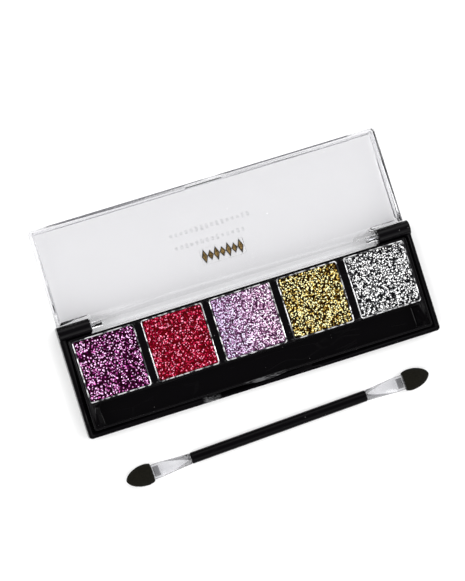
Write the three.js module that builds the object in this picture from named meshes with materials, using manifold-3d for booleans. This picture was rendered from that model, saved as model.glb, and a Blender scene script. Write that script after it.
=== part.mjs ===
// Slim eyeshadow palette: a black two-piece base with five square pans, a clear hinged lid
// that folds flat behind it, and a loose double-ended sponge applicator.
//
// Millimetres, +Z up. The origin is the centre of the base's underside. +X runs along the row
// of pans, +Y towards the hinge. The lid is drawn shut and then turned open about its pins.

import * as THREE from 'three';
import { mergeVertices } from 'three/addons/utils/BufferGeometryUtils.js';
import Module from 'manifold-3d';

const wasm = await Module();
wasm.setup();

// ---------------------------------------------------------------- driving dimensions

const CLOSED_HEIGHT = 11;
const SLIT = 0.3; // the gap kept between pieces that rest against each other
const ROUND_STEPS = 2; // facets across a rounded edge

const CASE = {
  width: 116,
  depth: 36.2,
  wallTop: 5.8,
  sideWall: 2,
  frontWall: 1.85,
  floor: 1,
  corner: 1.2,
  round: 0.3, // the outer edges are rounded this much
  backLip: 2.2, // height of the low wall behind the pans
  backLipDepth: 1,
};
const CASE_BACK = CASE.depth / 2;
const CASE_FRONT = -CASE.depth / 2;
const NOTCH_FACE = 13.2; // back of the base between its two hinge ears

const HINGE = {
  y: 15.6,
  z: CLOSED_HEIGHT / 2, // half the closed height, so the open lid lies flat on the table
  pinRadius: 0.65,
  boreRadius: 0.7,
  earLength: 10.6,
  earRadius: 2.3,
  pinLength: 13.7,
  blindDepth: 3.3,
  pinSetback: 0.2,
};
const EAR_INNER = CASE.width / 2 - HINGE.earLength;

const THUMB = { halfWidth: 20, ramp: 4.5, sill: 4.3 };
const RIB = { thickness: 1, front: -6 };

const PAN = {
  outer: 20,
  pitch: 22.3,
  backEdge: 12.5,
  bottom: 3.55,
  rimTop: 6.95,
  wall: 0.35,
  corner: 0.8,
};
const PAN_Y = PAN.backEdge - PAN.outer / 2;
const WELL = { clearance: 0.1, floor: 3.2, floorThickness: 0.8, chamfer: 0.12 };
const CAKE = { clearance: 0.05, top: 6.75, crown: 0.2 };
const GLUE = { radius: 5, lift: 0.05, height: 0.22 };

const TRAY = {
  deckTop: 6.8,
  deckThickness: 1,
  ridgeTop: 7.2,
  ridge: 0.6,
  corner: 0.8,
  round: 0.15,
};
const TRAY_HALF_WIDTH = CASE.width / 2 - CASE.sideWall - SLIT;
const TRAY_FRONT = CASE_FRONT + CASE.frontWall + 0.2;
const TROUGH = {
  floor: 2.05,
  skin: 0.75,
  halfLengthFloor: 52,
  halfLengthTop: 54,
  frontFloor: -15.4,
  frontTop: -15.45,
  backFloor: -8.2,
  backTop: -8.05,
  corner: 1.5,
};
const CATCH = { width: 14, proud: 0.6, low: 6.6, high: 7.1, ribProud: 0.5, ribLow: 6.1, ribHigh: 6.5 };

const LID = {
  halfWidth: 57.2,
  play: -0.2, // the lid sits a little to the left of the middle of its ears
  front: -18.1,
  rim: 6.1,
  plate: 1.4,
  wallAtRim: 0.95,
  wallAtPlate: 1.7,
  notchFront: 12.9,
  notchSide: 46.9,
  notchWallRim: 7.5,
  corner: 1.2,
  round: 0.35,
};
const HINGE_WALL = {
  inner: -0.5, // faces measured from the hinge axis
  outer: 2,
  knuckle: 2.2,
  bossFace: -2.1,
  bossLength: 5.5,
  ramp: 2.5,
  roll: 5.5, // the back edge is rolled to this radius, so it clears the table as it turns
};
const FOIL = { y: 5.3, width: 13.8, height: 4.7, thickness: 0.1, recess: 0.2, border: 0.3 };
const LABEL = { x: 30, width: 36, depth: 16, recess: 0.2, thickness: 0.12, border: 0.2, lift: 0.05 };

const APPLICATOR = {
  x: 0,
  y: -32.05,
  lift: 0.05,
  turn: 2.25, // degrees
  handleRadius: 1.8,
  handleHalf: 29.4,
  gap: 0.05,
  tipStart: 42.3,
  tipLength: 8.5,
  tipHalfWidth: 3.4,
  tipHalfThickness: 2.2,
};
const NECK = {
  rootRadius: 1.7,
  endHalfWidth: 2.42,
  endHalfThickness: 0.8,
  spigotRadius: 1,
  spigotLength: 4.6,
  paddleHalfWidth: 1.7,
  paddleHalfThickness: 0.5,
  paddleLength: 5.2,
  clearance: 0.2,
};

const LID_OPEN_ANGLE = 180; // degrees

// ---------------------------------------------------------------- finishes

const FINISH = {
  black: { color: 0x0b0b0d, roughness: 0.22, metalness: 0 },
  clear: { color: 0xe6e4ec, roughness: 0.05, metalness: 0, transparent: true, opacity: 0.3 },
  tin: { color: 0xc9c9cd, roughness: 0.3, metalness: 1 },
  steel: { color: 0xb6b8bb, roughness: 0.25, metalness: 1 },
  glue: { color: 0xe9e3d0, roughness: 0.4, metalness: 0 },
  foil: { color: 0xb28a3c, roughness: 0.3, metalness: 1 },
  label: { color: 0xececea, roughness: 0.6, metalness: 0 },
  handle: { color: 0x0d0c0f, roughness: 0.2, metalness: 0 },
  stem: { color: 0xd6d7da, roughness: 0.12, metalness: 0, transparent: true, opacity: 0.5 },
  foam: { color: 0x1c1a15, roughness: 0.95, metalness: 0 },
};

const SHADES = [
  { name: 'purple', color: 0x6b2766 },
  { name: 'red', color: 0xa31b3c },
  { name: 'lilac', color: 0xb690c4 },
  { name: 'gold', color: 0x9c8136 },
  { name: 'silver', color: 0xa4a9ab },
];

// ---------------------------------------------------------------- solids

/** A boolean-ready solid from a closed geometry. */
function solid(geometry) {
  const bare = geometry.clone();
  bare.deleteAttribute('normal');
  bare.deleteAttribute('uv');
  const merged = mergeVertices(bare, 1e-5);
  return new wasm.Manifold(
    new wasm.Mesh({
      numProp: 3,
      vertProperties: new Float32Array(merged.attributes.position.array),
      triVerts: new Uint32Array(merged.index.array),
    }),
  );
}

/** A drawable geometry from a boolean result. */
function drawn(body) {
  const mesh = body.getMesh();
  const geometry = new THREE.BufferGeometry();
  geometry.setAttribute('position', new THREE.BufferAttribute(mesh.vertProperties, 3));
  geometry.setIndex(new THREE.BufferAttribute(mesh.triVerts, 1));
  const faceted = geometry.toNonIndexed();
  faceted.computeVertexNormals();
  return faceted;
}

/** A block between two corners. */
function block(x0, x1, y0, y1, z0, z1) {
  const geometry = new THREE.BoxGeometry(x1 - x0, y1 - y0, z1 - z0);
  return solid(geometry.translate((x0 + x1) / 2, (y0 + y1) / 2, (z0 + z1) / 2));
}

/** A rectangle with rounded corners, in the XY plane. */
function roundedRectangle(x0, x1, y0, y1, radius) {
  const shape = new THREE.Shape();
  shape.moveTo(x0 + radius, y0);
  shape.lineTo(x1 - radius, y0);
  shape.absarc(x1 - radius, y0 + radius, radius, -Math.PI / 2, 0, false);
  shape.lineTo(x1, y1 - radius);
  shape.absarc(x1 - radius, y1 - radius, radius, 0, Math.PI / 2, false);
  shape.lineTo(x0 + radius, y1);
  shape.absarc(x0 + radius, y1 - radius, radius, Math.PI / 2, Math.PI, false);
  shape.lineTo(x0, y0 + radius);
  shape.absarc(x0 + radius, y0 + radius, radius, Math.PI, 1.5 * Math.PI, false);
  return shape;
}

/** Extrusion settings for a given length; the edges at both ends may be rounded over. */
function extrusion(length, curveSegments, round) {
  return {
    depth: length - 2 * round,
    curveSegments,
    bevelEnabled: round > 0,
    bevelThickness: round,
    bevelSize: round,
    bevelOffset: -round,
    bevelSegments: ROUND_STEPS,
  };
}

/** A shape raised from one height to another. */
function raised(shape, z0, z1, curveSegments = 6, round = 0) {
  const geometry = new THREE.ExtrudeGeometry(shape, extrusion(z1 - z0, curveSegments, round));
  return solid(geometry.translate(0, 0, z0 + round));
}

/** A rounded pad between two heights. */
function pad(x0, x1, y0, y1, z0, z1, radius, round = 0) {
  return raised(roundedRectangle(x0, x1, y0, y1, radius), z0, z1, 6, round);
}

/**
 * A rounded pocket whose walls have draft: the floor rectangle at z0 grows or shrinks to the
 * mouth rectangle at z1.
 */
function draftedPocket(floor, mouth, z0, z1, radius) {
  const shape = roundedRectangle(floor.x0, floor.x1, floor.y0, floor.y1, radius);
  const settings = { depth: z1 - z0, bevelEnabled: false, curveSegments: 6 };
  const geometry = new THREE.ExtrudeGeometry(shape, settings);
  const position = geometry.attributes.position;
  for (let i = 0; i < position.count; i += 1) {
    if (position.getZ(i) > 0) {
      const along = (position.getX(i) - floor.x0) / (floor.x1 - floor.x0);
      const across = (position.getY(i) - floor.y0) / (floor.y1 - floor.y0);
      position.setX(i, THREE.MathUtils.lerp(mouth.x0, mouth.x1, along));
      position.setY(i, THREE.MathUtils.lerp(mouth.y0, mouth.y1, across));
    }
  }
  return solid(geometry.translate(0, 0, z0));
}

/** A section drawn in (y, z) and run along X from x0 to x1. */
function run(section, x0, x1, round = 0, curveSegments = 12) {
  const geometry = new THREE.ExtrudeGeometry(section, extrusion(x1 - x0, curveSegments, round));
  const start = x0 + round;
  const turnYZX = new THREE.Matrix4().set(0, 0, 1, start, 1, 0, 0, 0, 0, 1, 0, 0, 0, 0, 0, 1);
  return solid(geometry.applyMatrix4(turnYZX));
}

/** A round bar along X, centred on (y, z). */
function bar(x0, x1, y, z, radius, sides = 24) {
  const geometry = new THREE.CylinderGeometry(radius, radius, x1 - x0, sides);
  return solid(geometry.rotateZ(Math.PI / 2).translate((x0 + x1) / 2, y, z));
}

/** Joins a list of solids. */
function joined(bodies) {
  return bodies.reduce((whole, next) => whole.add(next));
}

/** Cuts each of a list of solids out of the first. */
function cut(body, cutters) {
  return cutters.reduce((rest, next) => rest.subtract(next), body);
}

/** A named sub-part. */
function part(name, geometry, finish) {
  const mesh = new THREE.Mesh(geometry, new THREE.MeshStandardMaterial(finish));
  mesh.name = name;
  return mesh;
}

/** Both signs of a sideways place, with the name each side takes. */
const SIDES = [
  { side: -1, name: 'left' },
  { side: 1, name: 'right' },
];

/** The lower and upper of two numbers, for a span that is mirrored to either side. */
function mirroredSpan(side, inner, outer) {
  return side > 0 ? [inner, outer] : [-outer, -inner];
}

// ---------------------------------------------------------------- base

/** One hinge ear: a straight block with a round top, bored for its pin. */
function ear(side) {
  const middle = CASE_BACK - HINGE.earRadius;
  const shoulder = CASE.wallTop;
  const section = new THREE.Shape();
  section.moveTo(middle - HINGE.earRadius, CASE.round);
  section.lineTo(middle + HINGE.earRadius, CASE.round);
  section.lineTo(middle + HINGE.earRadius, shoulder);
  section.absarc(middle, shoulder, HINGE.earRadius, 0, Math.PI, false);
  const [x0, x1] = mirroredSpan(side, EAR_INNER, CASE.width / 2);
  return run(section, x0, x1, CASE.round);
}

/** The slot in the front wall where a thumbnail reaches the lid's edge. */
function thumbSlot() {
  const { halfWidth, ramp, sill } = THUMB;
  const top = CASE.wallTop + 1;
  const slope = (CASE.wallTop - sill) / ramp;
  const shape = new THREE.Shape();
  shape.moveTo(-halfWidth - 1 / slope, top);
  shape.lineTo(-halfWidth + ramp, sill);
  shape.lineTo(halfWidth - ramp, sill);
  shape.lineTo(halfWidth + 1 / slope, top);
  const settings = { depth: CASE.frontWall + 1, bevelEnabled: false };
  const geometry = new THREE.ExtrudeGeometry(shape, settings).rotateX(Math.PI / 2);
  return solid(geometry.translate(0, CASE_FRONT + CASE.frontWall + 0.01, 0));
}

function bottomCase() {
  const half = CASE.width / 2;
  const inner = half - CASE.sideWall;
  const front = CASE_FRONT + CASE.frontWall;
  const earFace = CASE_BACK - 2 * HINGE.earRadius;
  const lipFront = NOTCH_FACE - CASE.backLipDepth;
  const tall = CASE.wallTop + 1;

  const body = pad(-half, half, CASE_FRONT, CASE_BACK, 0, CASE.wallTop, CASE.corner, CASE.round);
  const shell = cut(body, [
    block(-inner, inner, front, lipFront, CASE.floor, tall),
    block(-inner, inner, lipFront - 0.5, earFace, CASE.backLip, tall),
    block(-EAR_INNER, EAR_INNER, NOTCH_FACE, CASE_BACK + 1, -1, tall),
    thumbSlot(),
  ]);

  const ribs = [-1.5, -0.5, 0.5, 1.5].map((step) => {
    const x = step * PAN.pitch;
    return block(x - RIB.thickness / 2, x + RIB.thickness / 2, RIB.front, lipFront + 0.5, 0.5, CASE.backLip);
  });

  const ears = SIDES.map(({ side }) => ear(side));
  const bores = SIDES.map(({ side }) => {
    const [x0, x1] = mirroredSpan(side, EAR_INNER - 1, half + 1);
    return bar(x0, x1, HINGE.y, HINGE.z, HINGE.boreRadius);
  });
  const labelRecess = pad(
    LABEL.x - LABEL.width / 2,
    LABEL.x + LABEL.width / 2,
    -LABEL.depth / 2,
    LABEL.depth / 2,
    -1,
    LABEL.recess,
    1,
  );
  return cut(joined([shell, ...ribs, ...ears]), [...bores, labelRecess]);
}

/** The centres of the pans along X. */
const PAN_X = SHADES.map((_, i) => (i - (SHADES.length - 1) / 2) * PAN.pitch);

/** The lens-shaped bead on the front of the tray's ridge that the lid snaps over. */
function catchBead() {
  const half = CATCH.width / 2;
  const sweep = new THREE.Shape();
  sweep.moveTo(half, TRAY_FRONT + 0.2);
  sweep.lineTo(-half, TRAY_FRONT + 0.2);
  sweep.lineTo(-half, TRAY_FRONT);
  sweep.quadraticCurveTo(0, TRAY_FRONT - 2 * CATCH.proud, half, TRAY_FRONT);
  return raised(sweep, CATCH.low, CATCH.high, 12);
}

function panTray() {
  const under = TRAY.deckTop - TRAY.deckThickness;
  const wellHalf = PAN.outer / 2 + WELL.clearance;
  const half = TRAY_HALF_WIDTH;

  const plateTo = (top) => pad(-half, half, TRAY_FRONT, NOTCH_FACE, under, top, TRAY.corner, TRAY.round);
  const deck = plateTo(TRAY.deckTop);
  const ridge = cut(plateTo(TRAY.ridgeTop), [
    block(-half + TRAY.ridge, half - TRAY.ridge, TRAY_FRONT + TRAY.ridge, NOTCH_FACE + 1, 0, 9),
  ]);
  const wells = block(
    -half,
    half,
    TROUGH.backFloor - 0.5,
    NOTCH_FACE,
    WELL.floor - WELL.floorThickness,
    under + 0.1,
  );
  const troughShell = block(
    -half,
    half,
    TRAY_FRONT,
    TROUGH.backFloor + TROUGH.skin,
    TROUGH.floor - TROUGH.skin,
    under + 0.1,
  );

  const pockets = PAN_X.map((x) =>
    pad(
      x - wellHalf,
      x + wellHalf,
      PAN_Y - wellHalf,
      PAN_Y + wellHalf,
      WELL.floor,
      TRAY.ridgeTop + 1,
      PAN.corner,
    ),
  );
  const flares = PAN_X.map((x) => {
    const square = (reach) => ({ x0: x - reach, x1: x + reach, y0: PAN_Y - reach, y1: PAN_Y + reach });
    const low = TRAY.deckTop - WELL.chamfer;
    const mouth = square(wellHalf + WELL.chamfer);
    return draftedPocket(square(wellHalf), mouth, low, TRAY.deckTop + 0.01, PAN.corner);
  });
  const trough = draftedPocket(
    {
      x0: -TROUGH.halfLengthFloor,
      x1: TROUGH.halfLengthFloor,
      y0: TROUGH.frontFloor,
      y1: TROUGH.backFloor,
    },
    {
      x0: -TROUGH.halfLengthTop,
      x1: TROUGH.halfLengthTop,
      y0: TROUGH.frontTop,
      y1: TROUGH.backTop,
    },
    TROUGH.floor,
    TRAY.ridgeTop + 1,
    TROUGH.corner,
  );
  return cut(joined([deck, ridge, wells, troughShell, catchBead()]), [...pockets, ...flares, trough]);
}

/** One square tin pan, open at the top. */
function pan(x) {
  const outer = PAN.outer / 2;
  const inner = outer - PAN.wall;
  return cut(pad(x - outer, x + outer, PAN_Y - outer, PAN_Y + outer, PAN.bottom, PAN.rimTop, PAN.corner), [
    pad(
      x - inner,
      x + inner,
      PAN_Y - inner,
      PAN_Y + inner,
      PAN.bottom + PAN.wall,
      PAN.rimTop + 1,
      PAN.corner - PAN.wall,
    ),
  ]);
}

/** The pressed glitter in a pan: a square tablet whose top edge is slightly crowned. */
function cake(x) {
  const half = PAN.outer / 2 - PAN.wall - CAKE.clearance;
  const corner = PAN.corner - PAN.wall;
  const low = PAN.bottom + PAN.wall + CAKE.clearance;
  const shoulder = CAKE.top - CAKE.crown;
  const base = { x0: x - half, x1: x + half, y0: PAN_Y - half, y1: PAN_Y + half };
  const top = {
    x0: base.x0 + CAKE.crown,
    x1: base.x1 - CAKE.crown,
    y0: base.y0 + CAKE.crown,
    y1: base.y1 - CAKE.crown,
  };
  return joined([
    pad(base.x0, base.x1, base.y0, base.y1, low, shoulder, corner),
    draftedPocket(base, top, shoulder, CAKE.top, corner),
  ]);
}

/** A flattened blob of glue that holds a pan down. */
function glueBlob(x) {
  const low = WELL.floor + GLUE.lift;
  const profile = [
    new THREE.Vector2(0, 0),
    new THREE.Vector2(GLUE.radius, 0),
    new THREE.Vector2(GLUE.radius * 0.96, GLUE.height * 0.7),
    new THREE.Vector2(GLUE.radius * 0.86, GLUE.height),
    new THREE.Vector2(0, GLUE.height),
  ];
  const geometry = new THREE.LatheGeometry(profile, 32).rotateX(Math.PI / 2);
  return solid(geometry.translate(x, PAN_Y, low));
}

function baseLabel() {
  const inset = LABEL.border;
  return pad(
    LABEL.x - LABEL.width / 2 + inset,
    LABEL.x + LABEL.width / 2 - inset,
    -LABEL.depth / 2 + inset,
    LABEL.depth / 2 - inset,
    LABEL.lift,
    LABEL.lift + LABEL.thickness,
    1,
  );
}

/** A steel pin with chamfered ends, pushed in from the side of the base. */
function hingePin(side) {
  const outer = CASE.width / 2 - HINGE.pinSetback;
  const radius = HINGE.pinRadius;
  const chamfer = 0.2;
  const length = HINGE.pinLength;
  const profile = [
    new THREE.Vector2(0, 0),
    new THREE.Vector2(radius - chamfer, 0),
    new THREE.Vector2(radius, chamfer),
    new THREE.Vector2(radius, length - chamfer),
    new THREE.Vector2(radius - chamfer, length),
    new THREE.Vector2(0, length),
  ];
  const geometry = new THREE.LatheGeometry(profile, 24).rotateZ(-Math.PI / 2);
  const start = side > 0 ? outer - length : -outer;
  return solid(geometry.translate(start, HINGE.y, HINGE.z));
}

// ---------------------------------------------------------------- lid, drawn shut

/** The lid's outline from above: a rectangle with a notch at each back corner for an ear. */
function lidOutline() {
  const { halfWidth, front, corner, notchFront, notchSide } = LID;
  const back = HINGE.y + HINGE_WALL.outer;
  const shape = new THREE.Shape();
  shape.moveTo(-halfWidth + corner, front);
  shape.lineTo(halfWidth - corner, front);
  shape.absarc(halfWidth - corner, front + corner, corner, -Math.PI / 2, 0, false);
  shape.lineTo(halfWidth, notchFront);
  shape.lineTo(notchSide, notchFront);
  shape.lineTo(notchSide, back);
  shape.lineTo(-notchSide, back);
  shape.lineTo(-notchSide, notchFront);
  shape.lineTo(-halfWidth, notchFront);
  shape.lineTo(-halfWidth, front + corner);
  shape.absarc(-halfWidth + corner, front + corner, corner, Math.PI, 1.5 * Math.PI, false);
  return shape;
}

/** Places a point given from the hinge axis, in (y, z). */
function fromHinge(y, z) {
  return [HINGE.y + y, HINGE.z + z];
}

/** The angle of the point at a radius whose y from the hinge axis is given. */
function angleAt(y, radius) {
  return Math.acos(y / radius);
}

/** The section of the wall that carries the pins; its foot is round about the hinge axis. */
function hingeWallSection(innerFace) {
  const { outer, knuckle, roll } = HINGE_WALL;
  const plateUnder = CLOSED_HEIGHT - LID.plate - HINGE.z;
  const bounded = Math.max(innerFace, -knuckle);
  const section = new THREE.Shape();
  section.moveTo(...fromHinge(bounded, plateUnder));
  section.lineTo(...fromHinge(bounded, 0));
  section.absarc(HINGE.y, HINGE.z, knuckle, -angleAt(bounded, knuckle), -angleAt(outer, knuckle), false);
  section.lineTo(...fromHinge(outer, 0));
  section.absarc(HINGE.y, HINGE.z, roll, angleAt(outer, roll), Math.PI / 2, false);
  section.lineTo(...fromHinge(innerFace, roll));
  return section;
}

/** A boss at one end of the hinge wall, with a ramp that runs back into the wall. */
function pinBoss(side) {
  const { bossFace, bossLength, ramp, inner } = HINGE_WALL;
  const bossInner = LID.notchSide - bossLength;
  const plateTop = CLOSED_HEIGHT - LID.plate / 2;
  const [x0, x1] = mirroredSpan(side, bossInner, LID.notchSide);
  const wedge = new THREE.Shape();
  wedge.moveTo(side * (bossInner + 0.1), HINGE.y + bossFace);
  wedge.lineTo(side * (bossInner + 0.1), HINGE.y + inner + 0.2);
  wedge.lineTo(side * (bossInner - ramp), HINGE.y + inner + 0.2);
  return [run(hingeWallSection(bossFace), x0, x1), raised(wedge, HINGE.z, plateTop)];
}

/** The lid's half of the catch: a low rib inside the front wall. */
function catchRib() {
  const half = CATCH.width / 2 - 1;
  const face = LID.front + LID.wallAtRim;
  return block(-half, half, face - 0.2, face + CATCH.ribProud, CATCH.ribLow, CATCH.ribHigh);
}

function lid() {
  const { halfWidth, front, rim, plate, wallAtRim, wallAtPlate, notchFront, notchSide } = LID;
  const plateUnder = CLOSED_HEIGHT - plate;
  const hingeInner = HINGE.y + HINGE_WALL.inner;

  const outside = raised(lidOutline(), rim, CLOSED_HEIGHT, 6, LID.round);
  const hollow = draftedPocket(
    {
      x0: -halfWidth + wallAtRim,
      x1: halfWidth - wallAtRim,
      y0: front + wallAtRim,
      y1: notchFront - wallAtRim,
    },
    {
      x0: -halfWidth + wallAtPlate,
      x1: halfWidth - wallAtPlate,
      y0: front + wallAtPlate,
      y1: notchFront - wallAtRim,
    },
    rim,
    plateUnder,
    0.6,
  );
  const middle = notchSide - wallAtRim;
  const inner = halfWidth - wallAtRim;
  const behind = block(-middle, middle, notchFront - wallAtPlate - 1, hingeInner, rim - 1, plateUnder);
  const overTray = block(-inner, inner, 0, notchFront + 0.1, rim - 1, LID.notchWallRim);
  const overEnds = block(-notchSide - 1, notchSide + 1, notchFront - 1, CASE_BACK, rim - 1, LID.notchWallRim);
  const mouthTrim = block(-inner, inner, front + wallAtRim, notchFront - wallAtRim, rim - 1, rim + 0.001);
  const backEdge = block(-notchSide - 1, notchSide + 1, HINGE.y, CASE_BACK + 1, rim - 1, CLOSED_HEIGHT + 1);
  const shell = cut(outside, [hollow, mouthTrim, behind, overTray, overEnds, backEdge]);

  const wall = run(hingeWallSection(HINGE_WALL.inner), -notchSide + 0.5, notchSide - 0.5);
  const bosses = SIDES.flatMap(({ side }) => pinBoss(side));
  const bores = SIDES.map(({ side }) => {
    const [x0, x1] = mirroredSpan(side, notchSide - HINGE.blindDepth, notchSide + 1);
    return bar(x0, x1, HINGE.y, HINGE.z, HINGE.boreRadius);
  });
  const foilBed = pad(
    -FOIL.width / 2 - FOIL.border,
    FOIL.width / 2 + FOIL.border,
    FOIL.y - FOIL.height / 2 - FOIL.border,
    FOIL.y + FOIL.height / 2 + FOIL.border,
    CLOSED_HEIGHT - FOIL.recess,
    CLOSED_HEIGHT + 1,
    0.8,
  );
  return cut(joined([shell, wall, ...bosses, catchRib()]), [...bores, foilBed]);
}

/** A plain ornament for the lid: a row of lozenges on a thin bar, largest in the middle. */
function lidFoil() {
  const low = CLOSED_HEIGHT - FOIL.recess + 0.06;
  const high = low + FOIL.thickness;
  const lozenges = [-2, -1, 0, 1, 2].map((step) => {
    const tall = (FOIL.height / 2) * (1 - 0.24 * Math.abs(step));
    const wide = tall * 0.62;
    const x = step * FOIL.width * 0.205;
    const shape = new THREE.Shape();
    shape.moveTo(x - wide, FOIL.y);
    shape.lineTo(x, FOIL.y - tall);
    shape.lineTo(x + wide, FOIL.y);
    shape.lineTo(x, FOIL.y + tall);
    return raised(shape, low, high);
  });
  const barHalf = 0.16;
  const spine = block(-FOIL.width / 2, FOIL.width / 2, FOIL.y - barHalf, FOIL.y + barHalf, low, high);
  return joined([spine, ...lozenges]);
}

// ---------------------------------------------------------------- applicator, along X

function applicatorHandle() {
  const { handleRadius, handleHalf } = APPLICATOR;
  const round = 0.25;
  const profile = [
    new THREE.Vector2(0, -handleHalf),
    new THREE.Vector2(handleRadius - round, -handleHalf),
    new THREE.Vector2(handleRadius, -handleHalf + round),
    new THREE.Vector2(handleRadius, handleHalf - round),
    new THREE.Vector2(handleRadius - round, handleHalf),
    new THREE.Vector2(0, handleHalf),
  ];
  const rod = solid(new THREE.LatheGeometry(profile, 32).rotateZ(-Math.PI / 2));
  const depth = NECK.spigotLength + NECK.clearance;
  const sockets = SIDES.map(({ side }) => {
    const [x0, x1] = mirroredSpan(side, handleHalf - depth, handleHalf + 1);
    return bar(x0, x1, 0, 0, NECK.spigotRadius + 0.1);
  });
  return cut(rod, sockets);
}

/**
 * The clear neck: round where it meets the handle, flattened and widened towards the sponge,
 * with a spigot inside the handle and a paddle inside the sponge.
 */
function neck(side) {
  const start = APPLICATOR.handleHalf + APPLICATOR.gap;
  const end = APPLICATOR.tipStart - APPLICATOR.gap;
  const length = end - start;
  const geometry = new THREE.CylinderGeometry(1, 1, length, 32, 10).rotateZ(-Math.PI / 2);
  geometry.translate((start + end) / 2, 0, 0);
  const position = geometry.attributes.position;
  for (let i = 0; i < position.count; i += 1) {
    const y = position.getY(i);
    const z = position.getZ(i);
    const t = THREE.MathUtils.smoothstep(position.getX(i), start, end - 0.15 * length);
    const across = THREE.MathUtils.lerp(NECK.rootRadius, NECK.endHalfWidth, t);
    const through = THREE.MathUtils.lerp(NECK.rootRadius, NECK.endHalfThickness, t);
    const power = THREE.MathUtils.lerp(1, 0.45, t);
    position.setY(i, across * Math.sign(y) * Math.abs(y) ** power);
    position.setZ(i, through * Math.sign(z) * Math.abs(z) ** power);
  }
  const handleEnd = APPLICATOR.handleHalf;
  const spigot = bar(handleEnd - NECK.spigotLength, start + 0.5, 0, 0, NECK.spigotRadius);
  const paddle = block(
    end - 0.5,
    end + NECK.paddleLength,
    -NECK.paddleHalfWidth,
    NECK.paddleHalfWidth,
    -NECK.paddleHalfThickness,
    NECK.paddleHalfThickness,
  );
  const body = joined([solid(geometry), spigot, paddle]);
  return side > 0 ? body : body.rotate([0, 0, 180]);
}

/** Half the sponge's width at a distance from its cut end, as a share of the widest. */
function spongeOutline(distance) {
  const widest = 0.25 * APPLICATOR.tipLength;
  if (distance < widest) {
    return 1 - 0.14 * (1 - distance / widest) ** 2;
  }
  const t = (distance - widest) / (APPLICATOR.tipLength - widest);
  return Math.max(0, 1 - t * t) ** 0.6;
}

/** One sponge tip: a flattened pointed dome, slotted for the neck's paddle. */
function spongeTip(side) {
  const { tipStart, tipLength, tipHalfWidth, tipHalfThickness } = APPLICATOR;
  const steps = 16;
  const profile = [new THREE.Vector2(0, 0)];
  for (let i = 0; i < steps; i += 1) {
    const distance = tipLength * Math.sin((i / steps) * (Math.PI / 2));
    profile.push(new THREE.Vector2(spongeOutline(distance), distance));
  }
  profile.push(new THREE.Vector2(0, tipLength));
  const geometry = new THREE.LatheGeometry(profile, 28).rotateZ(-Math.PI / 2);
  geometry.scale(1, tipHalfWidth, tipHalfThickness).translate(tipStart, 0, 0);
  const room = NECK.clearance;
  const slot = block(
    tipStart - 1,
    tipStart + NECK.paddleLength + room,
    -NECK.paddleHalfWidth - room,
    NECK.paddleHalfWidth + room,
    -NECK.paddleHalfThickness - room,
    NECK.paddleHalfThickness + room,
  );
  const body = cut(solid(geometry), [slot]);
  return side > 0 ? body : body.rotate([0, 0, 180]);
}

// ---------------------------------------------------------------- assembly

const palette = new THREE.Group();

const base = new THREE.Group();
base.add(part('bottom_case', drawn(bottomCase()), FINISH.black));
base.add(part('pan_tray', drawn(panTray()), FINISH.black));
base.add(part('base_label', drawn(baseLabel()), FINISH.label));
SHADES.forEach((shade, i) => {
  base.add(part(`pan_${shade.name}`, drawn(pan(PAN_X[i])), FINISH.tin));
  base.add(part(`glue_${shade.name}`, drawn(glueBlob(PAN_X[i])), FINISH.glue));
  const finish = { color: shade.color, roughness: 0.5, metalness: 0.4 };
  base.add(part(`glitter_${shade.name}`, drawn(cake(PAN_X[i])), finish));
});
SIDES.forEach(({ side, name }) => {
  base.add(part(`hinge_pin_${name}`, drawn(hingePin(side)), FINISH.steel));
});
palette.add(base);

const lidPivot = new THREE.Group();
const lidShut = new THREE.Group();
lidPivot.position.set(0, HINGE.y, HINGE.z);
lidPivot.rotation.x = THREE.MathUtils.degToRad(-LID_OPEN_ANGLE);
lidShut.position.set(LID.play, -HINGE.y, -HINGE.z);
lidShut.add(part('lid', drawn(lid()), FINISH.clear));
lidShut.add(part('lid_foil', drawn(lidFoil()), FINISH.foil));
lidPivot.add(lidShut);
palette.add(lidPivot);

const applicator = new THREE.Group();
applicator.position.set(APPLICATOR.x, APPLICATOR.y, APPLICATOR.tipHalfThickness + APPLICATOR.lift);
applicator.rotation.z = THREE.MathUtils.degToRad(APPLICATOR.turn);
applicator.add(part('applicator_handle', drawn(applicatorHandle()), FINISH.handle));
SIDES.forEach(({ side, name }) => {
  applicator.add(part(`applicator_neck_${name}`, drawn(neck(side)), FINISH.stem));
  applicator.add(part(`sponge_tip_${name}`, drawn(spongeTip(side)), FINISH.foam));
});
palette.add(applicator);

export default palette;
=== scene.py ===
import logging
import math
from dataclasses import dataclass
from enum import Enum
from typing import Callable

import bmesh
import bpy
from mathutils import Matrix, Vector, noise


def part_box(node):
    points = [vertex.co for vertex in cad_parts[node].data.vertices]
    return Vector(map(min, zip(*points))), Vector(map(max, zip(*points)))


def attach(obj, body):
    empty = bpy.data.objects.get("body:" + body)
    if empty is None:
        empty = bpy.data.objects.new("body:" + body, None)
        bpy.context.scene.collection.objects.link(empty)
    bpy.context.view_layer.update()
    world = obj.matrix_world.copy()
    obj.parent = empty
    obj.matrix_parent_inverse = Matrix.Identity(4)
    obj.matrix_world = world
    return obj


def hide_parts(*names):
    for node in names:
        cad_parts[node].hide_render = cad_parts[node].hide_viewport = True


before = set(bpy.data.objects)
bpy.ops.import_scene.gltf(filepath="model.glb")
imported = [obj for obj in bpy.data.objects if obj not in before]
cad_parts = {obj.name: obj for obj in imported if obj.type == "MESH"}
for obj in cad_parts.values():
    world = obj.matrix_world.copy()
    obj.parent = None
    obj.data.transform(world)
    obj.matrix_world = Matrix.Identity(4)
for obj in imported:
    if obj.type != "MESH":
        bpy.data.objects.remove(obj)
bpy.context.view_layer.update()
NODES: dict[str, bpy.types.Object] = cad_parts

MM = 0.001
MERGE = 0.002 * MM  # points closer than this are one point
SURFACE_KIND = "surface_kind"  # the face attribute that holds a Surface
log = logging.getLogger("palette")


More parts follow.
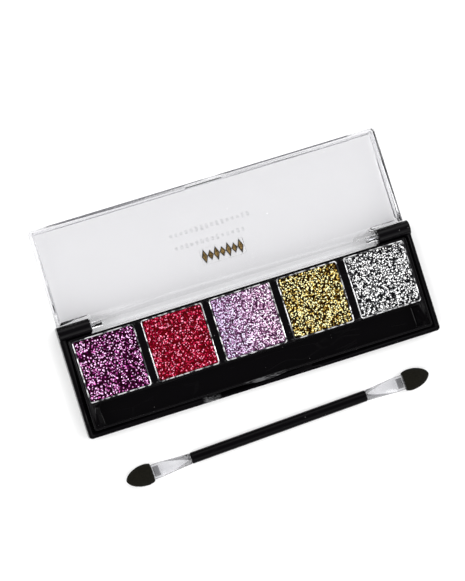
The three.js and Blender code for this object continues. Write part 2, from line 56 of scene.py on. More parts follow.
class Body(Enum):
    """The moving bodies of the palette."""

    BASE = "base"
    LID = "lid"
    APPLICATOR = "applicator"


class Side(Enum):
    """The two ends of the palette and of its applicator."""

    LEFT = -1
    RIGHT = 1

    @property
    def word(self) -> str:
        """The side's name in lower case."""
        return self.name.lower()


class Surface(Enum):
    """The kinds of surface on a clear piece, stored on its faces; each picks a painted tone."""

    RIM = 0.0
    PLATE = 0.35
    WALL = 0.7
    TURNED = 1.0

    @classmethod
    def levels(cls) -> tuple[float, ...]:
        """The stored value of each kind, lowest first."""
        return tuple(kind.value for kind in cls)


# ---------------------------------------------------------------- node wiring


def fill(node: bpy.types.Node, inputs: dict[str | int, object]) -> None:
    """Sets a node's inputs, or links them where a socket is given.

    Args:
        node: The node.
        inputs: Values, or sockets to link from, by input name or number.
    """
    for name, value in inputs.items():
        if isinstance(value, bpy.types.NodeSocket):
            node.id_data.links.new(value, node.inputs[name])
        else:
            node.inputs[name].default_value = value


def place(
    tree: bpy.types.NodeTree,
    kind: str,
    inputs: dict[str | int, object] | None = None,
    **settings: object,
) -> bpy.types.Node:
    """Adds a node and fills or links its inputs.

    Args:
        tree: The node tree that receives the node.
        kind: The node's type name.
        inputs: Values, or sockets to link from, by input name or number.
        **settings: Properties of the node itself.

    Returns:
        The new node.
    """
    node = tree.nodes.new(kind)
    for name, value in settings.items():
        setattr(node, name, value)
    fill(node, inputs or {})
    return node


def arithmetic(
    tree: bpy.types.NodeTree,
    operation: str,
    first: object,
    second: object = 0.0,
    third: object = 0.0,
) -> bpy.types.NodeSocket:
    """Adds a Math node.

    Args:
        tree: The node tree, for shading or for geometry.
        operation: The Math node's operation.
        first: A number or a socket.
        second: A number or a socket.
        third: A number or a socket, for the operations that take three.

    Returns:
        The node's result.
    """
    inputs = {0: first, 1: second, 2: third}
    return place(tree, "ShaderNodeMath", inputs, operation=operation).outputs[0]


def ramp(
    tree: bpy.types.NodeTree,
    factor: bpy.types.NodeSocket,
    stops: list[tuple[float, tuple[float, float, float]]],
) -> bpy.types.NodeSocket:
    """Adds a colour ramp.

    Args:
        tree: The shader tree.
        factor: What the ramp reads.
        stops: Places from 0 to 1, each with its colour.

    Returns:
        The ramp's colour.
    """
    node = place(tree, "ShaderNodeValToRGB", {"Fac": factor})
    elements = node.color_ramp.elements
    while len(elements) < len(stops):
        elements.new(0.5)
    for element, (position, colour) in zip(elements, stops):
        element.position = position
        element.color = (*colour, 1.0)
    return node.outputs["Color"]


def new_group(
    name: str,
    kind: str,
    inputs: list[tuple[str, str, object]],
    outputs: list[tuple[str, str]],
) -> tuple[bpy.types.NodeTree, bpy.types.Node, bpy.types.Node]:
    """Makes an empty node group with named sockets.

    Args:
        name: The group's name.
        kind: ShaderNodeTree or GeometryNodeTree.
        inputs: Name, socket type and default of each input; None leaves the default.
        outputs: Name and socket type of each output.

    Returns:
        The tree, its input node and its output node.
    """
    tree = bpy.data.node_groups.new(name, kind)
    for label, socket_type, default in inputs:
        socket = tree.interface.new_socket(name=label, in_out="INPUT", socket_type=socket_type)
        if default is not None:
            socket.default_value = default
    for label, socket_type in outputs:
        tree.interface.new_socket(name=label, in_out="OUTPUT", socket_type=socket_type)
    return tree, tree.nodes.new("NodeGroupInput"), tree.nodes.new("NodeGroupOutput")


def use_group(
    tree: bpy.types.NodeTree,
    group: bpy.types.NodeTree,
    inputs: dict[str, object] | None = None,
) -> bpy.types.Node:
    """Puts a shader node group into a material.

    Args:
        tree: The material's tree.
        group: The group.
        inputs: Values or sockets by input name.

    Returns:
        The group node.
    """
    return place(tree, "ShaderNodeGroup", inputs, node_tree=group)


def realised(
    points: bpy.types.NodeSocket,
    instance: bpy.types.NodeSocket,
    inputs: dict[str, object],
) -> bpy.types.NodeSocket:
    """Sets a shape on every point and makes the copies real.

    Args:
        points: The points.
        instance: The shape.
        inputs: The copies' scale and rotation.

    Returns:
        The copies as one mesh.
    """
    tree = points.id_data
    given = {"Points": points, "Instance": instance, **inputs}
    laid = place(tree, "GeometryNodeInstanceOnPoints", given).outputs["Instances"]
    return place(tree, "GeometryNodeRealizeInstances", {"Geometry": laid}).outputs["Geometry"]


def finished(geometry: bpy.types.NodeSocket, material: bpy.types.NodeSocket) -> bpy.types.NodeSocket:
    """Gives geometry a material.

    Args:
        geometry: The geometry.
        material: The material.

    Returns:
        The geometry with its material.
    """
    inputs = {"Geometry": geometry, "Material": material}
    return place(geometry.id_data, "GeometryNodeSetMaterial", inputs).outputs["Geometry"]


def joined(parts: tuple[bpy.types.NodeSocket, ...]) -> bpy.types.NodeSocket:
    """Joins parts into one geometry.

    Args:
        parts: The parts.

    Returns:
        The joined geometry.
    """
    tree = parts[0].id_data
    both = tree.nodes.new("GeometryNodeJoinGeometry")
    for part in parts:
        tree.links.new(part, both.inputs[0])
    return both.outputs["Geometry"]


def row_of_points(give: bpy.types.NodeOutputs) -> bpy.types.NodeSocket:
    """Lays points along a line, from a tree's Start, Step and Count.

    Args:
        give: The outputs of the tree's input node.

    Returns:
        The points.
    """
    tree = give["Start"].id_data
    inputs = {"Count": give["Count"], "Start Location": give["Start"], "Offset": give["Step"]}
    row = place(tree, "GeometryNodeMeshLine", inputs, mode="OFFSET").outputs["Mesh"]
    return place(tree, "GeometryNodeMeshToPoints", {"Mesh": row}).outputs["Points"]


# ---------------------------------------------------------------- shared surface effects


class SurfaceEffects:
    """Shader groups that several finishes share; each is made once."""

    def __init__(self) -> None:
        """Builds every group."""
        self.dust = self._dust()
        self.scratches = self._scratches()
        self.moulding = self._moulding()
        self.edge = self._edge()
        self.painted_highlight_patch = self._painted_highlight_patch()

    @staticmethod
    def _dust() -> bpy.types.NodeTree:
        """Sparse specks of dust, as a mask.

        Returns:
            The shader group.
        """
        tree, given, result = new_group(
            "fine_dust",
            "ShaderNodeTree",
            [("Per Metre", "NodeSocketFloat", 700.0), ("Amount", "NodeSocketFloat", 0.3)],
            [("Mask", "NodeSocketFloat")],
        )
        where = place(tree, "ShaderNodeTexCoord").outputs["Object"]
        cells = place(
            tree,
            "ShaderNodeTexVoronoi",
            {"Vector": where, "Scale": given.outputs["Per Metre"], "Randomness": 1.0},
        )
        chance = place(tree, "ShaderNodeSeparateColor", {"Color": cells.outputs["Color"]})
        size = arithmetic(tree, "MULTIPLY", chance.outputs["Green"], 0.11)
        speck = arithmetic(tree, "LESS_THAN", cells.outputs["Distance"], size)
        kept = arithmetic(tree, "LESS_THAN", chance.outputs["Red"], given.outputs["Amount"])
        tree.links.new(arithmetic(tree, "MULTIPLY", speck, kept), result.inputs["Mask"])
        return tree

    @staticmethod
    def _scratches() -> bpy.types.NodeTree:
        """Hairline handling marks that run mostly one way, as a mask.

        Returns:
            The shader group.
        """
        tree, given, result = new_group(
            "handling_scratches",
            "ShaderNodeTree",
            [
                ("Per Metre", "NodeSocketFloat", 260.0),
                ("Turn", "NodeSocketFloat", 0.4),
                ("Width", "NodeSocketFloat", 0.02),
            ],
            [("Mask", "NodeSocketFloat")],
        )
        where = place(tree, "ShaderNodeTexCoord").outputs["Object"]
        turn = place(tree, "ShaderNodeCombineXYZ", {"Z": given.outputs["Turn"]})
        turned = place(
            tree,
            "ShaderNodeMapping",
            {"Vector": where, "Rotation": turn.outputs["Vector"], "Scale": (0.12, 1.0, 0.4)},
        )
        bend = place(tree, "ShaderNodeTexNoise", {"Vector": where, "Scale": 60.0, "Detail": 1.0})
        bent = place(
            tree,
            "ShaderNodeVectorMath",
            {0: bend.outputs["Color"], 1: (0.004, 0.004, 0.004), 2: turned.outputs["Vector"]},
            operation="MULTIPLY_ADD",
        )
        lines = place(
            tree,
            "ShaderNodeTexVoronoi",
            {"Vector": bent.outputs["Vector"], "Scale": given.outputs["Per Metre"]},
            feature="DISTANCE_TO_EDGE",
        )
        thin = arithmetic(tree, "LESS_THAN", lines.outputs["Distance"], given.outputs["Width"])
        patches = place(tree, "ShaderNodeTexNoise", {"Vector": where, "Scale": 90.0, "Detail": 2.0})
        shown = arithmetic(tree, "GREATER_THAN", patches.outputs["Fac"], 0.52)
        tree.links.new(arithmetic(tree, "MULTIPLY", thin, shown), result.inputs["Mask"])
        return tree

    @staticmethod
    def _moulding() -> bpy.types.NodeTree:
        """The faint waviness of moulded plastic, as a height and a cloudy tone.

        Returns:
            The shader group.
        """
        tree, given, result = new_group(
            "moulding_waves",
            "ShaderNodeTree",
            [("Per Metre", "NodeSocketFloat", 180.0)],
            [("Height", "NodeSocketFloat"), ("Cloud", "NodeSocketFloat")],
        )
        where = place(tree, "ShaderNodeTexCoord").outputs["Object"]
        waves = place(
            tree,
            "ShaderNodeTexNoise",
            {"Vector": where, "Scale": given.outputs["Per Metre"], "Detail": 2.0},
        )
        fine = place(tree, "ShaderNodeTexNoise", {"Vector": where, "Scale": 2600.0, "Detail": 1.0})
        weak = arithmetic(tree, "MULTIPLY", fine.outputs["Fac"], 0.12)
        height = arithmetic(tree, "ADD", waves.outputs["Fac"], weak)
        tree.links.new(height, result.inputs["Height"])
        tree.links.new(waves.outputs["Fac"], result.inputs["Cloud"])
        return tree

    @staticmethod
    def _edge() -> bpy.types.NodeTree:
        """Where a surface turns sharply, as a mask that is 1 on an edge.

        Returns:
            The shader group.
        """
        tree, given, result = new_group(
            "turned_edge",
            "ShaderNodeTree",
            [("Radius", "NodeSocketFloat", 0.0003)],
            [("Mask", "NodeSocketFloat")],
        )
        rounded = place(tree, "ShaderNodeBevel", {"Radius": given.outputs["Radius"]}, samples=4)
        flat = place(tree, "ShaderNodeNewGeometry")
        same = place(
            tree,
            "ShaderNodeVectorMath",
            {0: rounded.outputs["Normal"], 1: flat.outputs["Normal"]},
            operation="DOT_PRODUCT",
        )
        turned = place(
            tree,
            "ShaderNodeMapRange",
            {"Value": same.outputs["Value"], "From Min": 0.99, "From Max": 0.8},
        )
        tree.links.new(turned.outputs["Result"], result.inputs["Mask"])
        return tree

    @staticmethod
    def _painted_highlight_patch() -> bpy.types.NodeTree:
        """Short streaks inside a soft-edged box, as a mask for a painted highlight.

        Returns:
            The shader group.
        """
        tree, given, result = new_group(
            "painted_highlight_patch",
            "ShaderNodeTree",
            [
                ("Centre", "NodeSocketVector", (0.0, 0.0, 0.0)),
                ("Half Size", "NodeSocketVector", (0.001, 0.001, 0.001)),
            ],
            [("Mask", "NodeSocketFloat")],
        )
        where = place(tree, "ShaderNodeTexCoord").outputs["Object"]
        offset = place(
            tree,
            "ShaderNodeVectorMath",
            {0: where, 1: given.outputs["Centre"]},
            operation="SUBTRACT",
        )
        share = place(
            tree,
            "ShaderNodeVectorMath",
            {0: offset.outputs["Vector"], 1: given.outputs["Half Size"]},
            operation="DIVIDE",
        )
        size = place(tree, "ShaderNodeVectorMath", {0: share.outputs["Vector"]}, operation="ABSOLUTE")
        split = place(tree, "ShaderNodeSeparateXYZ", {"Vector": size.outputs["Vector"]}).outputs
        widest = arithmetic(tree, "MAXIMUM", arithmetic(tree, "MAXIMUM", split["X"], split["Y"]), split["Z"])
        inside = place(tree, "ShaderNodeMapRange", {"Value": widest, "From Min": 1.0, "From Max": 0.7})
        along = place(tree, "ShaderNodeMapping", {"Vector": where, "Scale": (500.0, 2600.0, 2600.0)})
        streaks = place(tree, "ShaderNodeTexNoise", {"Vector": along.outputs["Vector"], "Scale": 1.0})
        shown = place(
            tree,
            "ShaderNodeMapRange",
            {"Value": streaks.outputs["Fac"], "From Min": 0.4, "From Max": 0.6},
        )
        mask = arithmetic(tree, "MULTIPLY", inside.outputs["Result"], shown.outputs["Result"])
        tree.links.new(mask, result.inputs["Mask"])
        return tree


EFFECTS = SurfaceEffects()


# ---------------------------------------------------------------- finishes


def fresh_material(name: str) -> tuple[bpy.types.Material, bpy.types.NodeTree, bpy.types.Node]:
    """Makes a material that holds only a Principled shader and its output.

    Args:
        name: The material's name.

    Returns:
        The material, its tree and the shader.
    """
    material = bpy.data.materials.new(name)
    material.use_nodes = True
    tree = material.node_tree
    tree.nodes.clear()
    shader = tree.nodes.new("ShaderNodeBsdfPrincipled")
    output = tree.nodes.new("ShaderNodeOutputMaterial")
    tree.links.new(shader.outputs["BSDF"], output.inputs["Surface"])
    return material, tree, shader


def mixed_colour(
    tree: bpy.types.NodeTree,
    factor: bpy.types.NodeSocket | float,
    first: object,
    second: object,
) -> bpy.types.NodeSocket:
    """Mixes two colours.

    Args:
        tree: The shader tree.
        factor: 0 gives the first colour and 1 the second.
        first: A colour or a socket.
        second: A colour or a socket.

    Returns:
        The mixed colour.
    """
    node = tree.nodes.new("ShaderNodeMix")
    node.data_type = "RGBA"
    for index, value in ((0, factor), (6, first), (7, second)):
        if isinstance(value, bpy.types.NodeSocket):
            tree.links.new(value, node.inputs[index])
        elif isinstance(value, tuple):
            node.inputs[index].default_value = (*value, 1.0)
        else:
            node.inputs[index].default_value = value
    return node.outputs[2]


def bumped(
    tree: bpy.types.NodeTree,
    height: bpy.types.NodeSocket,
    strength: float,
    distance_mm: float,
    normal: bpy.types.NodeSocket | None = None,
) -> bpy.types.NodeSocket:
    """Adds a Bump node.

    Args:
        tree: The shader tree.
        height: The height it reads.
        strength: From 0 to 1.
        distance_mm: How deep the relief looks, in millimetres.
        normal: A normal to start from.

    Returns:
        The bumped normal.
    """
    inputs: dict[str | int, object] = {
        "Height": height,
        "Strength": strength,
        "Distance": distance_mm * MM,
    }
    if normal is not None:
        inputs["Normal"] = normal
    return place(tree, "ShaderNodeBump", inputs).outputs["Normal"]


@dataclass(frozen=True)
class PaintedHighlightPatch:
    """A painted highlight patch, grey where a sloped spot would catch light: a box by its centre and half
    its size, in metres.
    """

    centre: tuple[float, float, float]
    half: tuple[float, float, float]


@dataclass(frozen=True)
class BlackStyrene:
    """Polished black plastic with faint handling marks, dust, rubbed edges and, where given, a painted
    highlight patch.
    """

    name: str
    colour: tuple[float, float, float] = (0.0018, 0.0015, 0.002)
    rubbed: tuple[float, float, float] = (0.009, 0.0085, 0.0095)
    roughness: float = 0.16
    marks_per_metre: float = 260.0
    marks_turn: float = 0.4
    dust: float = 0.16
    gloss: float = 0.1
    # the grey of the painted highlight patch, and where that patch lies
    patch_colour: tuple[float, float, float] = (0.085, 0.085, 0.088)
    patch: PaintedHighlightPatch | None = None

    def build(self) -> bpy.types.Material:
        """Makes the material.

        Returns:
            The material.
        """
        material, tree, shader = fresh_material(self.name)
        marks = use_group(
            tree,
            EFFECTS.scratches,
            {"Per Metre": self.marks_per_metre, "Turn": self.marks_turn},
        ).outputs["Mask"]
        dust = use_group(tree, EFFECTS.dust, {"Amount": self.dust}).outputs["Mask"]
        edge = use_group(tree, EFFECTS.edge).outputs["Mask"]
        moulding = use_group(tree, EFFECTS.moulding)
        rub = arithmetic(tree, "MULTIPLY", edge, moulding.outputs["Cloud"])
        colour = mixed_colour(tree, rub, self.colour, self.rubbed)
        colour = mixed_colour(tree, arithmetic(tree, "MULTIPLY", dust, 0.5), colour, (0.16, 0.155, 0.15))
        # painted highlight: a grey patch where a sloped spot would catch light
        if self.patch is not None:
            patch = use_group(
                tree,
                EFFECTS.painted_highlight_patch,
                {"Centre": self.patch.centre, "Half Size": self.patch.half},
            )
            colour = mixed_colour(tree, patch.outputs["Mask"], colour, self.patch_colour)
        haze = arithmetic(tree, "MULTIPLY_ADD", moulding.outputs["Cloud"], 0.1, self.roughness - 0.05)
        scuffed = arithmetic(tree, "MULTIPLY_ADD", marks, 0.16, haze)
        dusty = arithmetic(tree, "MULTIPLY_ADD", dust, 0.5, scuffed)
        relief = bumped(tree, moulding.outputs["Height"], 0.12, 0.02)
        relief = bumped(tree, marks, 0.15, 0.002, relief)
        fill(
            shader,
            {
                "Base Color": colour,
                "Roughness": dusty,
                "Normal": relief,
                "IOR": 1.5,
                "Specular IOR Level": self.gloss,
            },
        )
        return material


@dataclass(frozen=True)
class ClearStyrene:
    """Clear moulded plastic with painted light and shade: pale on its flats, greyer in its walls, a painted
    dark line where it turns.
    """

    name: str
    # painted tones by kind of face: the rim palest, plate and walls greyer as painted shade, turned a
    # near-black painted shade line
    rim: tuple[float, float, float] = (0.93, 0.932, 0.94)
    plate: tuple[float, float, float] = (0.7, 0.697, 0.708)
    wall: tuple[float, float, float] = (0.5, 0.5, 0.52)
    turned: tuple[float, float, float] = (0.012, 0.012, 0.016)
    roughness: float = 0.02
    ior: float = 1.49
    shadow: tuple[float, float, float] = (0.94, 0.94, 0.945)

    def build(self) -> bpy.types.Material:
        """Makes the material.

        Returns:
            The material.
        """
        material, tree, shader = fresh_material(self.name)
        marks = use_group(
            tree,
            EFFECTS.scratches,
            {"Per Metre": 180.0, "Turn": -0.3, "Width": 0.012},
        ).outputs["Mask"]
        dust = use_group(tree, EFFECTS.dust, {"Amount": 0.08, "Per Metre": 600.0}).outputs["Mask"]
        moulding = use_group(tree, EFFECTS.moulding, {"Per Metre": 60.0})
        marked = arithmetic(tree, "MULTIPLY_ADD", marks, 0.12, self.roughness)
        dusty = arithmetic(tree, "MULTIPLY_ADD", dust, 0.4, marked)
        # each kind of face picks its painted tone
        surface = place(tree, "ShaderNodeAttribute", attribute_name=SURFACE_KIND)
        stops = zip(Surface.levels(), (self.rim, self.plate, self.wall, self.turned))
        tone = ramp(tree, surface.outputs["Fac"], list(stops))
        shadow_side = arithmetic(tree, "MULTIPLY", moulding.outputs["Cloud"], 0.08)
        colour = mixed_colour(tree, shadow_side, tone, self.wall)
        fill(
            shader,
            {
                "Roughness": dusty,
                "Base Color": self.broken(tree, surface.outputs["Fac"], colour),
                "Normal": bumped(tree, moulding.outputs["Height"], 0.06, 0.02),
                "Transmission Weight": 1.0,
                "IOR": self.ior,
            },
        )
        let_light_through(tree, shader, self.shadow)
        return material

    def broken(
        self,
        tree: bpy.types.NodeTree,
        surface: bpy.types.NodeSocket,
        colour: bpy.types.NodeSocket,
    ) -> bpy.types.NodeSocket:
        """Lightens stretches of the turned edges, so that the painted dark edge line comes and goes.

        Args:
            tree: The material's tree.
            surface: The kind of surface, from 0 to 1.
            colour: The colour so far.

        Returns:
            The broken colour.
        """
        where = place(tree, "ShaderNodeTexCoord").outputs["Object"]
        stretch = place(tree, "ShaderNodeTexNoise", {"Vector": where, "Scale": 34.0, "Detail": 3.0})
        gap = place(
            tree,
            "ShaderNodeMapRange",
            {"Value": stretch.outputs["Fac"], "From Min": 0.52, "From Max": 0.58, "To Max": 0.75},
        )
        edge_only = arithmetic(tree, "GREATER_THAN", surface, 0.9)
        share = arithmetic(tree, "MULTIPLY", gap.outputs["Result"], edge_only)
        return mixed_colour(tree, share, colour, self.rim)


def let_light_through(
    tree: bpy.types.NodeTree,
    shader: bpy.types.Node,
    tint: tuple[float, float, float],
) -> None:
    """Makes a clear material cast a pale shadow instead of a black one.

    Args:
        tree: The material's tree.
        shader: The material's Principled shader.
        tint: How much of each colour passes one wall.
    """
    output = next(n for n in tree.nodes if n.bl_idname == "ShaderNodeOutputMaterial")
    passing = place(tree, "ShaderNodeBsdfTransparent", {"Color": (*tint, 1.0)})
    ray = place(tree, "ShaderNodeLightPath").outputs
    soft = arithmetic(tree, "MAXIMUM", ray["Is Shadow Ray"], ray["Is Diffuse Ray"])
    mix = place(
        tree,
        "ShaderNodeMixShader",
        {0: soft, 1: shader.outputs["BSDF"], 2: passing.outputs["BSDF"]},
    )
    tree.links.new(mix.outputs["Shader"], output.inputs["Surface"])


@dataclass(frozen=True)
class StemPlastic:
    """The clear plastic of the applicator's necks, with painted shade in its rounded sides and sunk window.
    """

    name: str
    # painted tones by kind of face: pale flats, painted shade in the sunk window and rounded sides, a
    # near-black painted line on turned edges
    flat: tuple[float, float, float] = (0.86, 0.86, 0.88)
    sunk: tuple[float, float, float] = (0.3, 0.3, 0.31)
    side: tuple[float, float, float] = (0.16, 0.16, 0.165)
    turned: tuple[float, float, float] = (0.03, 0.03, 0.03)
    ior: float = 1.47

    def build(self) -> bpy.types.Material:
        """Makes the material.

        Returns:
            The material.
        """
        material, tree, shader = fresh_material(self.name)
        where = place(tree, "ShaderNodeTexCoord").outputs["Object"]
        streaks = place(
            tree,
            "ShaderNodeMapping",
            {"Vector": where, "Scale": (160.0, 1500.0, 1500.0)},
        )
        flow = place(tree, "ShaderNodeTexNoise", {"Vector": streaks.outputs["Vector"], "Scale": 1.0})
        # each kind of face picks its painted tone
        surface = place(tree, "ShaderNodeAttribute", attribute_name=SURFACE_KIND)
        stops = zip(Surface.levels(), (self.flat, self.sunk, self.side, self.turned))
        tone = ramp(tree, surface.outputs["Fac"], list(stops))
        streaked = arithmetic(tree, "MULTIPLY", flow.outputs["Fac"], 0.35)
        rough = arithmetic(tree, "MULTIPLY_ADD", flow.outputs["Fac"], 0.1, 0.03)
        fill(
            shader,
            {
                "Base Color": mixed_colour(tree, streaked, tone, self.sunk),
                "Roughness": rough,
                "Normal": bumped(tree, flow.outputs["Fac"], 0.2, 0.02),
                "Transmission Weight": 0.96,
                "IOR": self.ior,
            },
        )
        let_light_through(tree, shader, (0.8, 0.8, 0.81))
        return material


@dataclass(frozen=True)
class DrawnMetal:
    """Bright metal with fine drawing lines along one axis."""

    name: str
    colour: tuple[float, float, float]
    dull: tuple[float, float, float]
    roughness: float
    grain: tuple[float, float, float]

    def build(self) -> bpy.types.Material:
        """Makes the material.

        Returns:
            The material.
        """
        material, tree, shader = fresh_material(self.name)
        where = place(tree, "ShaderNodeTexCoord").outputs["Object"]
        along = place(tree, "ShaderNodeMapping", {"Vector": where, "Scale": self.grain})
        lines = place(tree, "ShaderNodeTexNoise", {"Vector": along.outputs["Vector"], "Scale": 1.0})
        stain = place(tree, "ShaderNodeTexNoise", {"Vector": where, "Scale": 340.0, "Detail": 3.0})
        spread = arithmetic(tree, "MULTIPLY", lines.outputs["Fac"], stain.outputs["Fac"])
        colour = mixed_colour(tree, spread, self.colour, self.dull)
        rough = arithmetic(tree, "MULTIPLY_ADD", spread, 0.3, self.roughness)
        fill(
            shader,
            {
                "Base Color": colour,
                "Roughness": rough,
                "Normal": bumped(tree, lines.outputs["Fac"], 0.15, 0.01),
                "Metallic": 1.0,
            },
        )
        return material


@dataclass(frozen=True)
class Tinplate:
    """Thin tinned steel, bright where it is clean and dark in the patches that handling has left."""

    name: str = "tinplate"
    bright: tuple[float, float, float] = (0.95, 0.95, 0.96)
    patch_colour: tuple[float, float, float] = (0.05, 0.05, 0.055)
    patches_per_metre: float = 420.0

    def build(self) -> bpy.types.Material:
        """Makes the material.

        Returns:
            The material.
        """
        material, tree, shader = fresh_material(self.name)
        where = place(tree, "ShaderNodeTexCoord").outputs["Object"]
        patches = place(
            tree,
            "ShaderNodeTexNoise",
            {"Vector": where, "Scale": self.patches_per_metre, "Detail": 3.0},
        )
        colour = ramp(tree, patches.outputs["Fac"], [(0.46, self.bright), (0.56, self.patch_colour)])
        rough = arithmetic(tree, "MULTIPLY_ADD", patches.outputs["Fac"], 0.3, 0.25)
        fill(
            shader,
            {
                "Base Color": colour,
                "Roughness": rough,
                "Normal": bumped(tree, patches.outputs["Fac"], 0.15, 0.02),
                "Metallic": 1.0,
            },
        )
        return material


@dataclass(frozen=True)
class HotGlue:
    """Set hot-melt glue with small bubbles."""

    name: str = "set_glue"

    def build(self) -> bpy.types.Material:
        """Makes the material.

        Returns:
            The material.
        """
        material, tree, shader = fresh_material(self.name)
        where = place(tree, "ShaderNodeTexCoord").outputs["Object"]
        bubbles = place(tree, "ShaderNodeTexVoronoi", {"Vector": where, "Scale": 1100.0})
        colour = ramp(
            tree,
            bubbles.outputs["Distance"],
            [(0.0, (0.9, 0.86, 0.74)), (0.5, (0.78, 0.72, 0.58))],
        )
        relief = bumped(tree, bubbles.outputs["Distance"], 0.3, 0.05)
        fill(
            shader,
            {
                "Base Color": colour,
                "Normal": relief,
                "Roughness": 0.35,
            },
        )
        return material


@dataclass(frozen=True)
class LabelPaper:
    """Blank satin label stock."""

    name: str = "blank_label"

    def build(self) -> bpy.types.Material:
        """Makes the material.

        Returns:
            The material.
        """
        material, tree, shader = fresh_material(self.name)
        where = place(tree, "ShaderNodeTexCoord").outputs["Object"]
        fibre = place(tree, "ShaderNodeTexNoise", {"Vector": where, "Scale": 2200.0, "Detail": 4.0})
        colour = ramp(
            tree,
            fibre.outputs["Fac"],
            [(0.3, (0.74, 0.74, 0.72)), (0.7, (0.84, 0.84, 0.82))],
        )
        fill(
            shader,
            {
                "Base Color": colour,
                "Normal": bumped(tree, fibre.outputs["Fac"], 0.2, 0.02),
                "Roughness": 0.5,
            },
        )
        return material


@dataclass(frozen=True)
class StampedFoil:
    """Hot-stamped metallic foil with small gaps where it did not take."""

    name: str
    colour: tuple[float, float, float] = (0.55, 0.35, 0.1)
    worn: tuple[float, float, float] = (0.16, 0.09, 0.02)

    def build(self) -> bpy.types.Material:
        """Makes the material.

        Returns:
            The material.
        """
        material, tree, shader = fresh_material(self.name)
        where = place(tree, "ShaderNodeTexCoord").outputs["Object"]
        gaps = place(tree, "ShaderNodeTexNoise", {"Vector": where, "Scale": 1800.0, "Detail": 3.0})
        colour = ramp(tree, gaps.outputs["Fac"], [(0.42, self.worn), (0.55, self.colour)])
        fill(
            shader,
            {
                "Base Color": colour,
                "Normal": bumped(tree, gaps.outputs["Fac"], 0.3, 0.02),
                "Metallic": 0.7,
                "Roughness": 0.3,
            },
        )
        return material


@dataclass(frozen=True)
class PrintInk:
    """Thin screen-printed ink."""

    name: str
    colour: tuple[float, float, float]
    thin: tuple[float, float, float]

    def build(self) -> bpy.types.Material:
        """Makes the material.

        Returns:
            The material.
        """
        material, tree, shader = fresh_material(self.name)
        where = place(tree, "ShaderNodeTexCoord").outputs["Object"]
        cover = place(tree, "ShaderNodeTexNoise", {"Vector": where, "Scale": 2500.0, "Detail": 2.0})
        colour = ramp(tree, cover.outputs["Fac"], [(0.35, self.thin), (0.6, self.colour)])
        fill(
            shader,
            {
                "Base Color": colour,
                "Roughness": 0.45,
            },
        )
        return material


@dataclass(frozen=True)
class SpongeFoam:
    """Fine open-cell foam, nearly black, with a soft sheen, painted shade in its pores and painted light on
    its cell walls.
    """

    name: str = "sponge_foam"
    colour: tuple[float, float, float] = (0.0048, 0.0043, 0.0028)
    pore: tuple[float, float, float] = (0.001, 0.001, 0.001)
    lit: tuple[float, float, float] = (0.0085, 0.0078, 0.0055)

    def build(self) -> bpy.types.Material:
        """Makes the material.

        Returns:
            The material.
        """
        material, tree, shader = fresh_material(self.name)
        where = place(tree, "ShaderNodeTexCoord").outputs["Object"]
        pores = place(tree, "ShaderNodeTexVoronoi", {"Vector": where, "Scale": 4200.0})
        clouds = place(tree, "ShaderNodeTexNoise", {"Vector": where, "Scale": 1200.0, "Detail": 4.0})
        # the ramp paints shade into the pores and light onto the cell walls between them
        wall = ramp(
            tree,
            pores.outputs["Distance"],
            [(0.15, self.pore), (0.45, self.colour), (0.8, self.lit)],
        )
        colour = mixed_colour(tree, arithmetic(tree, "MULTIPLY", clouds.outputs["Fac"], 0.5), wall, self.lit)
        relief = bumped(tree, pores.outputs["Distance"], 0.8, 0.08)
        relief = bumped(tree, clouds.outputs["Fac"], 0.5, 0.15, relief)
        fill(
            shader,
            {
                "Base Color": colour,
                "Normal": relief,
                "Roughness": 0.95,
                "Specular IOR Level": 0.06,
                "Sheen Weight": 0.02,
                "Sheen Roughness": 0.5,
            },
        )
        return material


